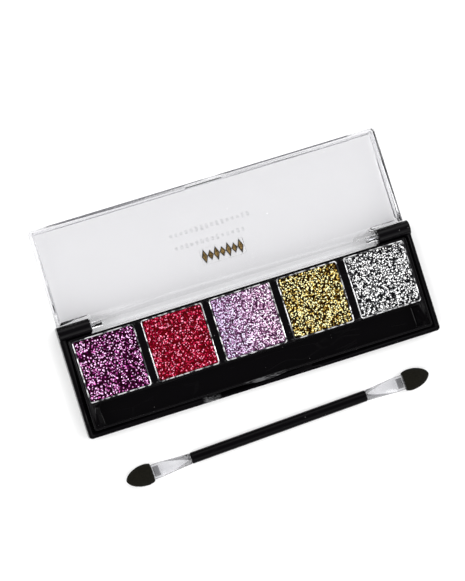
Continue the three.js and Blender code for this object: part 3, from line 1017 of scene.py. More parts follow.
@dataclass(frozen=True)
class GlitterShade:
    """One pressed glitter: flakes over a tinted binder, the flakes' random tones running from painted dark
    reflections to painted glints.
    """

    name: str
    flake_and_glint_stops: list[tuple[float, tuple[float, float, float]]]
    binder: tuple[float, float, float]
    cast: tuple[float, float, float]
    cast_share: float = 0.0
    seed: int = 1

    def flakes(self, centre_x: float) -> bpy.types.Material:
        """Makes the flakes' material.

        Args:
            centre_x: The middle of the shade's pan along X, in metres.

        Returns:
            The material.
        """
        material, tree, shader = fresh_material(f"{self.name}_flakes")
        # a random tone per flake: its middle is the glitter's colour, its ends painted dark reflections and
        # painted glints
        tone = place(tree, "ShaderNodeAttribute", attribute_name="flake_tone_and_glint").outputs["Fac"]
        sparkle = place(tree, "ShaderNodeAttribute", attribute_name="flake_sparkle").outputs["Fac"]
        colour = ramp(tree, tone, self.flake_and_glint_stops)
        where = place(tree, "ShaderNodeTexCoord").outputs["Object"]
        centred = place(tree, "ShaderNodeMapping", {"Vector": where, "Location": (-centre_x, 0.0, 0.0)})
        across = place(tree, "ShaderNodeSeparateXYZ", {"Vector": centred.outputs["Vector"]})
        leftness = place(
            tree,
            "ShaderNodeMapRange",
            {"Value": across.outputs["X"], "From Min": 0.007, "From Max": -0.010, "To Max": self.cast_share},
        )
        tinted = place(
            tree,
            "ShaderNodeMix",
            {0: leftness.outputs["Result"], 6: colour, 7: (*self.cast, 1.0)},
            data_type="RGBA",
            blend_type="MULTIPLY",
        )
        rough = arithmetic(tree, "MULTIPLY_ADD", sparkle, 0.3, 0.18)
        fill(
            shader,
            {
                "Base Color": tinted.outputs[2],
                "Roughness": rough,
                "Metallic": 0.35,
                "Specular IOR Level": 0.03,
            },
        )
        return material

    def bed(self) -> bpy.types.Material:
        """Makes the material of the pressed binder under the flakes.

        Returns:
            The material.
        """
        material, tree, shader = fresh_material(f"{self.name}_binder")
        where = place(tree, "ShaderNodeTexCoord").outputs["Object"]
        grain = place(tree, "ShaderNodeTexVoronoi", {"Vector": where, "Scale": 2400.0})
        deep = tuple(0.4 * c for c in self.binder)
        colour = ramp(tree, grain.outputs["Distance"], [(0.1, self.binder), (0.6, deep)])
        fill(
            shader,
            {
                "Base Color": colour,
                "Normal": bumped(tree, grain.outputs["Distance"], 0.6, 0.1),
                "Roughness": 0.6,
                "Specular IOR Level": 0.03,
            },
        )
        return material


# ---------------------------------------------------------------- mesh help


def link_object(name: str, mesh: bpy.types.Mesh) -> bpy.types.Object:
    """Puts a mesh into the scene as an object at the origin.

    Args:
        name: The object's name.
        mesh: Its mesh.

    Returns:
        The object.
    """
    mesh.name = name
    piece = bpy.data.objects.new(name, mesh)
    bpy.context.scene.collection.objects.link(piece)
    return piece


def settle(piece: bpy.types.Object) -> None:
    """Turns a piece's modifiers into its plain mesh.

    Args:
        piece: The object whose modifiers are applied and removed.
    """
    graph = bpy.context.evaluated_depsgraph_get()
    mesh = bpy.data.meshes.new_from_object(
        piece.evaluated_get(graph),
        preserve_all_data_layers=True,
        depsgraph=graph,
    )
    piece.modifiers.clear()
    piece.data = mesh
    mesh.name = piece.name


def smooth_between(mesh: bpy.types.Mesh, degrees: float) -> None:
    """Shades a mesh smooth, except across edges that turn more than an angle.

    Args:
        mesh: The mesh.
        degrees: The angle past which an edge stays sharp.
    """
    mesh.polygons.foreach_set("use_smooth", [True] * len(mesh.polygons))
    mesh.set_sharp_from_angle(angle=math.radians(degrees))


def merged_copy(node: str) -> bpy.types.Mesh:
    """Copies a CAD node's mesh with its loose triangles joined up.

    Args:
        node: The CAD node.

    Returns:
        The copy, its faces pointing outwards and without materials.
    """
    mesh = NODES[node].data.copy()
    mesh.materials.clear()
    shape = bmesh.new()
    shape.from_mesh(mesh)
    bmesh.ops.remove_doubles(shape, verts=shape.verts, dist=MERGE)
    bmesh.ops.recalc_face_normals(shape, faces=shape.faces)
    shape.to_mesh(mesh)
    shape.free()
    return mesh


def moulded_copy(node: str, name: str, crease_deg: float = 35.0) -> bpy.types.Object:
    """Copies a CAD node as one smooth-shaded shell with crisp creases.

    Args:
        node: The CAD node.
        name: The new piece's name.
        crease_deg: Edges that turn more than this stay sharp.

    Returns:
        The new piece.
    """
    mesh = merged_copy(node)
    smooth_between(mesh, crease_deg)
    piece = link_object(name, mesh)
    even = piece.modifiers.new("even_normals", "WEIGHTED_NORMAL")
    even.keep_sharp = True
    settle(piece)
    return piece


def mark_surfaces(
    mesh: bpy.types.Mesh,
    kind_of_face: Callable[[bpy.types.MeshPolygon], Surface],
) -> None:
    """Stores on each face of a mesh which kind of surface it is.

    Args:
        mesh: The mesh.
        kind_of_face: Says a face's kind.
    """
    kinds = [kind_of_face(face).value for face in mesh.polygons]
    mesh.attributes.new(SURFACE_KIND, "FLOAT", "FACE").data.foreach_set("value", kinds)


def finish_piece(
    piece: bpy.types.Object,
    body: Body,
    replaces: tuple[str, ...] = (),
    material: bpy.types.Material | None = None,
) -> None:
    """Attaches a finished piece to its body, hides what it replaces and reports it.

    Args:
        piece: The piece, in place.
        body: The body it moves with.
        replaces: The CAD nodes it stands for.
        material: Its one material, when it has none yet.
    """
    if material is not None:
        piece.data.materials.clear()
        piece.data.materials.append(material)
    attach(piece, body.value)
    if replaces:
        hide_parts(*replaces)
    log.info("%s: %d faces, on %s", piece.name, len(piece.data.polygons), body.value)


def dress_node(node: str, material: bpy.types.Material) -> None:
    """Gives a CAD node that stays visible its finish.

    Args:
        node: The CAD node.
        material: Its material.
    """
    piece = NODES[node]
    if not piece.material_slots:
        piece.data.materials.append(material)
    for slot in piece.material_slots:
        slot.material = material
    log.info("%s: CAD shape kept", node)


def set_modifier(
    piece: bpy.types.Object,
    tree: bpy.types.NodeTree,
    values: dict[str, object],
) -> None:
    """Adds a Geometry Nodes modifier and sets its inputs by identifier.

    Args:
        piece: The object that carries the modifier.
        tree: The geometry tree.
        values: Each input's value, by its name in the tree.
    """
    modifier = piece.modifiers.new(tree.name, "NODES")
    modifier.node_group = tree
    sockets = {
        item.name: item.identifier
        for item in tree.interface.items_tree
        if item.item_type == "SOCKET" and item.in_out == "INPUT"
    }
    for name, value in values.items():
        modifier[sockets[name]] = value


# ---------------------------------------------------------------- base


@dataclass
class BaseShell:
    """The black base: its outer case, the tray set into it and the label under it."""

    crease_deg: float = 35.0
    # each painted highlight patch's centre: along X, behind the node's front, above the table
    thumb_centre_mm: tuple[float, float, float] = (-17.7, 0.9, 5.3)
    thumb_half_mm: tuple[float, float, float] = (3.2, 1.3, 1.3)
    catch_centre_mm: tuple[float, float, float] = (0.0, 0.5, 6.85)
    catch_half_mm: tuple[float, float, float] = (7.5, 0.9, 0.6)

    def build(self) -> None:
        """Makes and dresses the three pieces."""
        case = moulded_copy("bottom_case", "case_shell", self.crease_deg)
        # the thumb ramp and the catch bead each get a painted highlight patch
        thumb = self.patch("bottom_case", self.thumb_centre_mm, self.thumb_half_mm)
        styrene = BlackStyrene("case_styrene", patch=thumb).build()
        finish_piece(case, Body.BASE, ("bottom_case",), styrene)
        tray = moulded_copy("pan_tray", "tray_insert", self.crease_deg)
        catch = self.patch("pan_tray", self.catch_centre_mm, self.catch_half_mm)
        insert = BlackStyrene("tray_styrene", marks_turn=-0.2, roughness=0.11, patch=catch).build()
        finish_piece(tray, Body.BASE, ("pan_tray",), insert)
        dress_node("base_label", LabelPaper().build())

    @staticmethod
    def patch(
        node: str,
        centre_mm: tuple[float, float, float],
        half_mm: tuple[float, float, float],
    ) -> PaintedHighlightPatch:
        """Places a painted highlight patch on the front of a node.

        Args:
            node: The node's name.
            centre_mm: Along X, behind the node's front, and above the table.
            half_mm: Half the patch's size.

        Returns:
            The patch, in metres.
        """
        x, behind, height = centre_mm
        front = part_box(node)[0][1]
        centre = (x * MM, front + behind * MM, height * MM)
        return PaintedHighlightPatch(centre, tuple(half * MM for half in half_mm))


@dataclass
class HingePins:
    """The two drawn steel pins."""

    def build(self) -> None:
        """Dresses the pins."""
        steel = DrawnMetal(
            "pin_steel",
            colour=(0.5, 0.5, 0.52),
            dull=(0.3, 0.3, 0.31),
            roughness=0.2,
            grain=(60.0, 9000.0, 9000.0),
        )
        material = steel.build()
        for side in Side:
            dress_node(f"hinge_pin_{side.word}", material)


# ---------------------------------------------------------------- pans and glitter


def flake_tree() -> bpy.types.NodeTree:
    """Builds the tree that lays hexagonal flakes over the top of a pressed tablet.

    Returns:
        The geometry tree.
    """
    tree, given, result = new_group(
        "flake_bed",
        "GeometryNodeTree",
        [
            ("Tablet", "NodeSocketGeometry", None),
            ("Flake Radius", "NodeSocketFloat", 0.00027),
            ("Flake Thickness", "NodeSocketFloat", 0.000014),
            ("Spacing", "NodeSocketFloat", 0.0003),
            ("Flakes Per Area", "NodeSocketFloat", 1.0e7),
            ("Tilt", "NodeSocketFloat", 0.4),
            ("Depth", "NodeSocketFloat", 0.0002),
            ("Rise", "NodeSocketFloat", 0.0001),
            ("Seed", "NodeSocketInt", 1),
            ("Flake Finish", "NodeSocketMaterial", None),
            ("Tablet Finish", "NodeSocketMaterial", None),
        ],
        [("Geometry", "NodeSocketGeometry")],
    )
    tree.is_modifier = True
    give = given.outputs
    up = place(tree, "GeometryNodeInputNormal")
    split = place(tree, "ShaderNodeSeparateXYZ", {"Vector": up.outputs["Normal"]})
    top = place(
        tree,
        "FunctionNodeCompare",
        {0: split.outputs["Z"], 1: 0.95},
        data_type="FLOAT",
        operation="GREATER_THAN",
    )
    scatter = place(
        tree,
        "GeometryNodeDistributePointsOnFaces",
        {
            "Mesh": give["Tablet"],
            "Selection": top.outputs["Result"],
            "Distance Min": give["Spacing"],
            "Density Max": give["Flakes Per Area"],
            "Seed": give["Seed"],
        },
        distribute_method="POISSON",
    )

    def drawn(kind: str, low: object, high: object, shift: int) -> bpy.types.NodeSocket:
        """Draws a random value for each flake.

        Args:
            kind: FLOAT or FLOAT_VECTOR.
            low: The lowest value, or a socket that gives it.
            high: The highest value, or a socket that gives it.
            shift: What is added to the tree's seed, so that each draw is its own.

        Returns:
            The value.
        """
        seed = place(tree, "ShaderNodeMath", {0: give["Seed"], 1: float(shift)}, operation="ADD")
        node = place(tree, "FunctionNodeRandomValue", {"Seed": seed.outputs[0]}, data_type=kind)
        low_socket, high_socket = ((0, 1) if kind == "FLOAT_VECTOR" else (2, 3))
        for index, value in ((low_socket, low), (high_socket, high)):
            if isinstance(value, bpy.types.NodeSocket):
                tree.links.new(value, node.inputs[index])
            else:
                node.inputs[index].default_value = value
        return node.outputs[0 if kind == "FLOAT_VECTOR" else 1]

    sunk = arithmetic(tree, "MULTIPLY", give["Depth"], -1.0)
    lift = drawn("FLOAT", sunk, give["Rise"], 11)
    offset = place(tree, "ShaderNodeCombineXYZ", {"Z": lift})
    moved = place(
        tree,
        "GeometryNodeSetPosition",
        {"Geometry": scatter.outputs["Points"], "Offset": offset.outputs["Vector"]},
    )
    named = moved.outputs["Geometry"]
    # each flake's random tone, which picks its colour from painted dark reflection through glitter colour to
    # painted glint
    for label, shift in (("flake_tone_and_glint", 23), ("flake_sparkle", 37)):
        store = place(
            tree,
            "GeometryNodeStoreNamedAttribute",
            {"Geometry": named, "Name": label, "Value": drawn("FLOAT", 0.0, 1.0, shift)},
            data_type="FLOAT",
            domain="POINT",
        )
        named = store.outputs["Geometry"]
    flake = place(
        tree,
        "GeometryNodeMeshCylinder",
        {"Vertices": 6, "Radius": give["Flake Radius"], "Depth": give["Flake Thickness"]},
        fill_type="NGON",
    )
    lean = drawn("FLOAT_VECTOR", (-1.0, -1.0, 0.0), (1.0, 1.0, 1.0), 51)
    limits = place(tree, "ShaderNodeCombineXYZ", {"X": give["Tilt"], "Y": give["Tilt"], "Z": 2 * math.pi})
    turn = place(
        tree,
        "ShaderNodeVectorMath",
        {0: lean, 1: limits.outputs["Vector"]},
        operation="MULTIPLY",
    )
    sizes = drawn("FLOAT_VECTOR", (0.6, 0.6, 1.0), (1.15, 1.15, 1.0), 67)
    placing = {"Rotation": turn.outputs["Vector"], "Scale": sizes}
    flakes = finished(realised(named, flake.outputs["Mesh"], placing), give["Flake Finish"])
    tablet = finished(give["Tablet"], give["Tablet Finish"])
    tree.links.new(joined((tablet, flakes)), result.inputs["Geometry"])
    return tree


# each shade's flake colours, darkest first: middle stops are the glitter's colour, the darkest and brightest
# are painted dark reflections and painted glints
SHADES = (
    GlitterShade(
        "purple",
        [
            (0.25, (0.008, 0.0, 0.003)),
            (0.45, (0.03, 0.0, 0.015)),
            (0.58, (0.15, 0.003, 0.095)),
            (0.7, (0.75, 0.17, 0.56)),
            (0.8, (1.0, 0.6, 0.96)),
        ],
        binder=(0.02, 0.0, 0.01),
        cast=(1.0, 1.0, 1.0),
        seed=3,
    ),
    GlitterShade(
        "red",
        [
            (0.1, (0.08, 0.0, 0.0)),
            (0.4, (0.19, 0.0, 0.006)),
            (0.6, (0.31, 0.0, 0.024)),
            (0.78, (0.78, 0.04, 0.11)),
            (0.9, (1.0, 0.32, 0.48)),
        ],
        binder=(0.1, 0.0, 0.003),
        cast=(0.9, 0.9, 0.9),
        cast_share=0.5,
        seed=5,
    ),
    GlitterShade(
        "lilac",
        [
            (0.08, (0.004, 0.0, 0.002)),
            (0.22, (0.3, 0.12, 0.24)),
            (0.42, (0.68, 0.38, 0.58)),
            (0.58, (0.95, 0.62, 0.86)),
            (0.75, (1.0, 0.88, 1.0)),
        ],
        binder=(0.1, 0.03, 0.09),
        cast=(0.7, 0.78, 0.95),
        cast_share=0.8,
        seed=7,
    ),
    GlitterShade(
        "gold",
        [
            (0.24, (0.001, 0.0, 0.0)),
            (0.36, (0.08, 0.03, 0.0)),
            (0.47, (0.42, 0.26, 0.04)),
            (0.6, (0.98, 0.74, 0.22)),
            (0.74, (1.0, 0.97, 0.54)),
        ],
        binder=(0.02, 0.008, 0.0),
        cast=(1.0, 1.0, 1.0),
        seed=11,
    ),
    GlitterShade(
        "silver",
        [
            (0.24, (0.0, 0.0, 0.001)),
            (0.34, (0.12, 0.12, 0.13)),
            (0.45, (0.55, 0.56, 0.58)),
            (0.56, (1.0, 1.0, 1.0)),
        ],
        binder=(0.01, 0.01, 0.012),
        cast=(1.0, 1.0, 1.0),
        seed=13,
    ),
)


@dataclass
class PanRow:
    """The pans, the glue under them and the pressed glitter in them."""

    flake_radius_mm: float = 0.25
    flake_thickness_mm: float = 0.014
    spacing_mm: float = 0.23
    flakes_per_mm2: float = 40.0
    tilt: float = 0.3
    sunk_mm: float = 0.12  # the lowest flake's depth in the tablet
    proud_mm: float = 0.1  # the highest flake's height over it

    def build(self) -> None:
        """Makes every pan's pieces."""
        tin = Tinplate().build()
        glue = HotGlue().build()
        tree = flake_tree()
        for shade in SHADES:
            pan = moulded_copy(f"pan_{shade.name}", f"tin_pan_{shade.name}")
            finish_piece(pan, Body.BASE, (f"pan_{shade.name}",), tin)
            dress_node(f"glue_{shade.name}", glue)
            self.press(shade, tree)

    def press(self, shade: GlitterShade, tree: bpy.types.NodeTree) -> None:
        """Lays one shade's flakes over its tablet.

        Args:
            shade: The shade.
            tree: The flake tree.
        """
        node = f"glitter_{shade.name}"
        low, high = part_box(node)
        centre_x = (low.x + high.x) / 2
        bed = link_object(f"pressed_glitter_{shade.name}", merged_copy(node))
        set_modifier(
            bed,
            tree,
            {
                "Flake Radius": self.flake_radius_mm * MM,
                "Flake Thickness": self.flake_thickness_mm * MM,
                "Spacing": self.spacing_mm * MM,
                "Flakes Per Area": self.flakes_per_mm2 / MM**2,
                "Tilt": self.tilt,
                "Depth": self.sunk_mm * MM,
                "Rise": self.proud_mm * MM,
                "Seed": shade.seed,
                "Flake Finish": shade.flakes(centre_x),
                "Tablet Finish": shade.bed(),
            },
        )
        settle(bed)
        finish_piece(bed, Body.BASE, (node,))


# ---------------------------------------------------------------- lid


def ornament_tree() -> bpy.types.NodeTree:
    """Builds the tree for a row of framed lozenges, tall and short by turns.

    Returns:
        The geometry tree.
    """
    tree, given, result = new_group(
        "lozenge_row",
        "GeometryNodeTree",
        [
            ("Start", "NodeSocketVector", None),
            ("Step", "NodeSocketVector", None),
            ("Count", "NodeSocketInt", 7),
            ("Half Width", "NodeSocketFloat", 0.00095),
            ("Half Height", "NodeSocketFloat", 0.0022),
            ("Short Share", "NodeSocketFloat", 0.7),
            ("Frame", "NodeSocketFloat", 0.0003),
            ("Thickness", "NodeSocketFloat", 0.00008),
            ("Frame Finish", "NodeSocketMaterial", None),
            ("Foil Finish", "NodeSocketMaterial", None),
        ],
        [("Geometry", "NodeSocketGeometry")],
    )
    tree.is_modifier = True
    give = given.outputs
    points = row_of_points(give)
    index = place(tree, "GeometryNodeInputIndex").outputs["Index"]
    odd = arithmetic(tree, "MODULO", index, 2.0)
    loss = arithmetic(tree, "SUBTRACT", 1.0, give["Short Share"])
    tall = arithmetic(tree, "SUBTRACT", 1.0, arithmetic(tree, "MULTIPLY", odd, loss))
    reach = arithmetic(tree, "MULTIPLY", give["Half Height"], tall)
    through = arithmetic(tree, "MULTIPLY", give["Thickness"], 3.0)
    outer = place(
        tree,
        "ShaderNodeCombineXYZ",
        {"X": give["Half Width"], "Y": reach, "Z": give["Thickness"]},
    )
    frame_width = arithmetic(tree, "DIVIDE", give["Frame"], give["Half Width"])
    open_share = arithmetic(tree, "SUBTRACT", 1.0, frame_width)
    lozenge = place(
        tree,
        "GeometryNodeMeshCylinder",
        {"Vertices": 4, "Radius": 1.0, "Depth": 1.0},
        fill_type="NGON",
    ).outputs["Mesh"]
    inner = place(
        tree,
        "ShaderNodeVectorMath",
        {0: outer.outputs["Vector"], 3: open_share},
        operation="SCALE",
    )
    flat = place(tree, "ShaderNodeSeparateXYZ", {"Vector": inner.outputs["Vector"]}).outputs
    sizes = [outer]
    for thickness in (through, give["Thickness"]):
        opening = {"X": flat["X"], "Y": flat["Y"], "Z": thickness}
        sizes.append(place(tree, "ShaderNodeCombineXYZ", opening))
    outline, cutter, infill = (
        realised(points, lozenge, {"Scale": size.outputs["Vector"]}) for size in sizes
    )
    frames = place(
        tree,
        "GeometryNodeMeshBoolean",
        {"Mesh 1": outline, "Mesh 2": cutter},
        operation="DIFFERENCE",
    )
    foils = finished(infill, give["Foil Finish"])
    rims = finished(frames.outputs["Mesh"], give["Frame Finish"])
    tree.links.new(joined((foils, rims)), result.inputs["Geometry"])
    return tree


def dash_tree() -> bpy.types.NodeTree:
    """Builds the tree for a printed border of small upright dashes of uneven height.

    Returns:
        The geometry tree.
    """
    tree, given, result = new_group(
        "dash_row",
        "GeometryNodeTree",
        [
            ("Start", "NodeSocketVector", None),
            ("Step", "NodeSocketVector", None),
            ("Count", "NodeSocketInt", 20),
            ("Dash Size", "NodeSocketVector", None),
            ("Shortest Share", "NodeSocketFloat", 0.45),
            ("Seed", "NodeSocketInt", 4),
            ("Ink", "NodeSocketMaterial", None),
        ],
        [("Geometry", "NodeSocketGeometry")],
    )
    tree.is_modifier = True
    give = given.outputs
    points = row_of_points(give)
    height = place(tree, "FunctionNodeRandomValue", {"Seed": give["Seed"]}, data_type="FLOAT")
    tree.links.new(give["Shortest Share"], height.inputs[2])
    scale = place(tree, "ShaderNodeCombineXYZ", {"X": 1.0, "Y": height.outputs[1], "Z": 1.0})
    dash = place(tree, "GeometryNodeMeshCube", {"Size": give["Dash Size"]})
    dashes = realised(points, dash.outputs["Mesh"], {"Scale": scale.outputs["Vector"]})
    tree.links.new(finished(dashes, give["Ink"]), result.inputs["Geometry"])
    return tree


@dataclass
class ClearLid:
    """The clear lid with its stamped ornament and two printed borders."""

    crease_deg: float = 35.0
    wall_below: float = 0.3
    flat_above: float = 0.97
    plate_mm: float = 1.4
    hinge_reach_mm: float = 21.0
    lozenges: int = 7
    short_share: float = 0.72  # a short lozenge's height against a tall one's
    frame_mm: float = 0.32
    dash_mm: tuple[float, float, float] = (0.75, 1.7, 0.03)
    dash_pitch_mm: float = 1.7
    # each row: how far beyond the ornament, its left end and its right end
    dash_rows_mm: tuple[tuple[float, float, float], ...] = ((9.1, -14.6, 13.4), (4.9, -14.0, 11.4))

    def build(self) -> None:
        """Makes and dresses the lid's pieces."""
        cover = moulded_copy("lid", "lid_cover", self.crease_deg)
        mark_surfaces(cover.data, self.kind_of_face)
        finish_piece(cover, Body.LID, ("lid",), ClearStyrene("lid_styrene").build())
        self.ornament()
        self.borders()

    def kind_of_face(self, face: bpy.types.MeshPolygon) -> Surface:
        """Says which kind of surface a face of the lid is.

        Args:
            face: The face.

        Returns:
            Its kind.
        """
        upright = abs(face.normal.z)
        if upright >= self.flat_above:
            on_the_rim = face.center.z > self.plate_mm * MM + MERGE
            return Surface.RIM if on_the_rim else Surface.PLATE
        # faces near the hinge take the pale rim tone instead of the painted wall shade
        if face.center.y < self.hinge_reach_mm * MM:
            return Surface.RIM
        return Surface.WALL if upright < self.wall_below else Surface.TURNED

    def ornament(self) -> None:
        """Stamps the row of lozenges into its recess."""
        low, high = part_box("lid_foil")
        centre = (low + high) / 2
        step = (high.x - low.x) / self.lozenges
        stamp = link_object("stamped_ornament", bpy.data.meshes.new("stamped_ornament"))
        start = Vector((low.x + step / 2, centre.y, centre.z))
        set_modifier(
            stamp,
            ornament_tree(),
            {
                "Start": start,
                "Step": Vector((step, 0.0, 0.0)),
                "Count": self.lozenges,
                "Half Width": step / 2,
                "Half Height": (high.y - low.y) / 2,
                "Short Share": self.short_share,
                "Frame": self.frame_mm * MM,
                "Thickness": high.z - low.z,
                "Frame Finish": PrintInk("outline_ink", (0.012, 0.008, 0.006), (0.05, 0.035, 0.02)).build(),
                "Foil Finish": StampedFoil("lid_gold").build(),
            },
        )
        settle(stamp)
        finish_piece(stamp, Body.LID, ("lid_foil",))

    def borders(self) -> None:
        """Prints the two faint borders beyond the ornament."""
        low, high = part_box("lid_foil")
        centre = (low + high) / 2
        ink = PrintInk("border_ink", (0.5, 0.5, 0.51), (0.72, 0.72, 0.73)).build()
        for number, (reach, left, right) in enumerate(self.dash_rows_mm, start=1):
            border = link_object(f"printed_border_{number}", bpy.data.meshes.new("border"))
            count = int((right - left) / self.dash_pitch_mm)
            set_modifier(
                border,
                dash_tree(),
                {
                    "Start": Vector((left * MM, centre.y + reach * MM, low.z)),
                    "Step": Vector((self.dash_pitch_mm * MM, 0.0, 0.0)),
                    "Count": count,
                    "Dash Size": Vector(self.dash_mm) * MM,
                    "Seed": number,
                    "Ink": ink,
                },
            )
            settle(border)
            finish_piece(border, Body.LID)


# ---------------------------------------------------------------- applicator


def lofted(rings: list[list[tuple[float, float, float]]]) -> bmesh.types.BMesh:
    """Skins closed rings of points into one closed shape.

    Args:
        rings: The rings, in order, each with the same number of points.

    Returns:
        The closed shape, its faces pointing outwards.
    """
    shape = bmesh.new()
    loops = [[shape.verts.new(point) for point in ring] for ring in rings]
    sides = len(loops[0])
    for near, far in zip(loops, loops[1:]):
        for step in range(sides):
            after = (step + 1) % sides
            shape.faces.new((near[step], near[after], far[after], far[step]))
    shape.faces.new(loops[0])
    shape.faces.new(list(reversed(loops[-1])))
    bmesh.ops.recalc_face_normals(shape, faces=shape.faces)
    return shape


def blend(low: float, high: float, share: float) -> float:
    """A value between two others.

    Args:
        low: The value at 0.
        high: The value at 1.
        share: How far along, held between 0 and 1.

    Returns:
        The value.
    """
    return low + (high - low) * min(max(share, 0.0), 1.0)


@dataclass
class Applicator:
    """The loose applicator: handle, two pinched clear necks and two sponge tips."""

    # millimetres, along X from the middle of the handle
    sides: int = 96
    handle_half: float = 29.4
    handle_radius: float = 1.8
    handle_round: float = 0.3
    socket_depth: float = 4.8
    socket_radius: float = 1.1
    neck_start: float = 29.45
    pinch_end: float = 39.5
    neck_end: float = 42.25
    neck_root: float = 1.7
    neck_wide: float = 2.42
    neck_thin: float = 0.85
    neck_rings: int = 24
    pinch_roll_deg: float = -30.0
    spigot: float = 1.0
    spigot_length: float = 4.6
    window: tuple[float, float] = (39.95, 41.75)
    window_half: float = 1.55
    window_depth: float = 0.32
    window_edge: float = 0.08
    chamfer: float = 0.15
    flat_slack: float = 0.02  # a point this near a flat lies on it
    paddle_end: float = 47.4
    paddle_half: float = 1.7
    paddle_thin: float = 0.5
    tip_start: float = 42.3
    tip_length: float = 8.5
    tip_wide: float = 3.4
    tip_thick: float = 2.2
    tip_rings: int = 110
    pore_depth: float = 0.035
    foam_fill: float = 0.9
    slot_room: float = 0.15

    def build(self) -> None:
        """Makes and dresses every piece."""
        plastic = BlackStyrene(
            "handle_plastic",
            marks_per_metre=420.0,
            dust=0.1,
            roughness=0.14,
            gloss=0.045,
        )
        tube = plastic.build()
        stem = StemPlastic("stem_plastic").build()
        foam = SpongeFoam().build()
        pose = self.pose()
        self.finish(self.handle(), "handle_tube", "handle_plastic", "applicator_handle", tube, pose)
        for side in Side:
            turned = pose @ Matrix.Rotation(math.pi if side is Side.LEFT else 0.0, 4, "Z")
            self.finish(
                self.neck(),
                f"pinched_neck_{side.word}",
                "stem_plastic",
                f"applicator_neck_{side.word}",
                stem,
                turned,
            )
            self.finish(
                self.tip(side),
                f"foam_tip_{side.word}",
                "sponge",
                f"sponge_tip_{side.word}",
                foam,
                turned,
            )

    @staticmethod
    def pose() -> Matrix:
        """Finds where the applicator lies and how it is turned.

        Returns:
            The placing of a shape drawn in millimetres along X.
        """
        ends = [sum(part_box(f"sponge_tip_{side.word}"), Vector()) / 2 for side in Side]
        run = ends[1] - ends[0]
        centre = (ends[0] + ends[1]) / 2
        turn = Matrix.Rotation(math.atan2(run.y, run.x), 4, "Z")
        return Matrix.Translation(centre) @ turn @ Matrix.Scale(MM, 4)

    def finish(
        self,
        shape: bmesh.types.BMesh,
        name: str,
        slot: str,
        node: str,
        material: bpy.types.Material,
        pose: Matrix,
    ) -> None:
        """Places a shape and attaches it to the applicator's body.

        Args:
            shape: The shape, in millimetres along X.
            name: The piece's name.
            slot: Which material it takes, which picks its face marks, its smoothing and its paddle slot.
            node: The CAD node that it stands for.
            material: The piece's material.
            pose: Where it goes.
        """
        mesh = bpy.data.meshes.new(name)
        shape.to_mesh(mesh)
        shape.free()
        if slot == "stem_plastic":
            mark_surfaces(mesh, self.kind_of_face)
        mesh.transform(pose)
        smooth_between(mesh, 20 if slot == "stem_plastic" else 32)
        piece = link_object(name, mesh)
        if slot == "sponge":
            self.slot_tip(piece, pose)
        finish_piece(piece, Body.APPLICATOR, (node,), material)

    def section(self, x: float) -> tuple[float, float, float]:
        """How wide, how thick and how far rolled the neck is.

        Args:
            x: How far along the neck.

        Returns:
            The half width, the half thickness between the flats, and the flats' roll.
        """
        share = (x - self.neck_start) / (self.pinch_end - self.neck_start)
        wide = blend(self.neck_root, self.neck_wide, share)
        thin = blend(self.neck_root, self.neck_thin, share)
        return wide, thin, math.radians(blend(self.pinch_roll_deg, 0.0, share))

    def kind_of_face(self, face: bpy.types.MeshPolygon) -> Surface:
        """Says which kind of surface a face of a neck is, in the neck's own millimetres.

        Args:
            face: The face.

        Returns:
            Its kind.
        """
        first, last = self.window
        x, y, z = face.center
        if x < self.neck_start or x > self.neck_end:
            return Surface.WALL
        _, thin, roll = self.section(x)
        height = abs(z * math.cos(roll) - y * math.sin(roll))
        if height > thin - self.flat_slack:
            return Surface.RIM
        if first < x < last and abs(y) < self.window_half:
            return Surface.PLATE
        return Surface.WALL

    def ring(
        self,
        x: float,
        half_width: float,
        half_thick: float,
        roll: float = 0.0,
    ) -> list[tuple[float, float, float]]:
        """One round or flattened section.

        Args:
            x: Where the section stands.
            half_width: The radius of its round sides.
            half_thick: Where its top and bottom are cut flat.
            roll: How far the flats are turned about the neck, in radians.

        Returns:
            The section's points.
        """
        points = []
        for step in range(self.sides):
            angle = 2 * math.pi * step / self.sides
            y = half_width * math.cos(angle)
            z = min(max(half_width * math.sin(angle), -half_thick), half_thick)
            turned = Matrix.Rotation(roll, 2) @ Vector((y, z))
            points.append((x, *turned))
        return points

    def handle(self) -> bmesh.types.BMesh:
        """Draws the tube with rounded ends and a socket at each.

        Returns:
            The shape, in millimetres along X.
        """
        half, radius, soft = self.handle_half, self.handle_radius, self.handle_round
        bore, chamfer = self.socket_radius, self.chamfer
        profile = [(half - self.socket_depth, bore), (half - chamfer, bore), (half, bore + chamfer)]
        arc = 4
        for step in range(arc + 1):
            angle = math.pi / 2 * (1 - step / arc)
            profile.append((half - soft + soft * math.sin(angle), radius - soft + soft * math.cos(angle)))
        stations = [half * share for share in (0.8, 0.6, 0.4, 0.2)]
        profile += [(x, radius) for x in stations]
        mirrored = [(-x, r) for x, r in reversed(profile)]
        rings = [self.ring(x, r, r) for x, r in (*profile, (0.0, radius), *mirrored)]
        return lofted(rings)

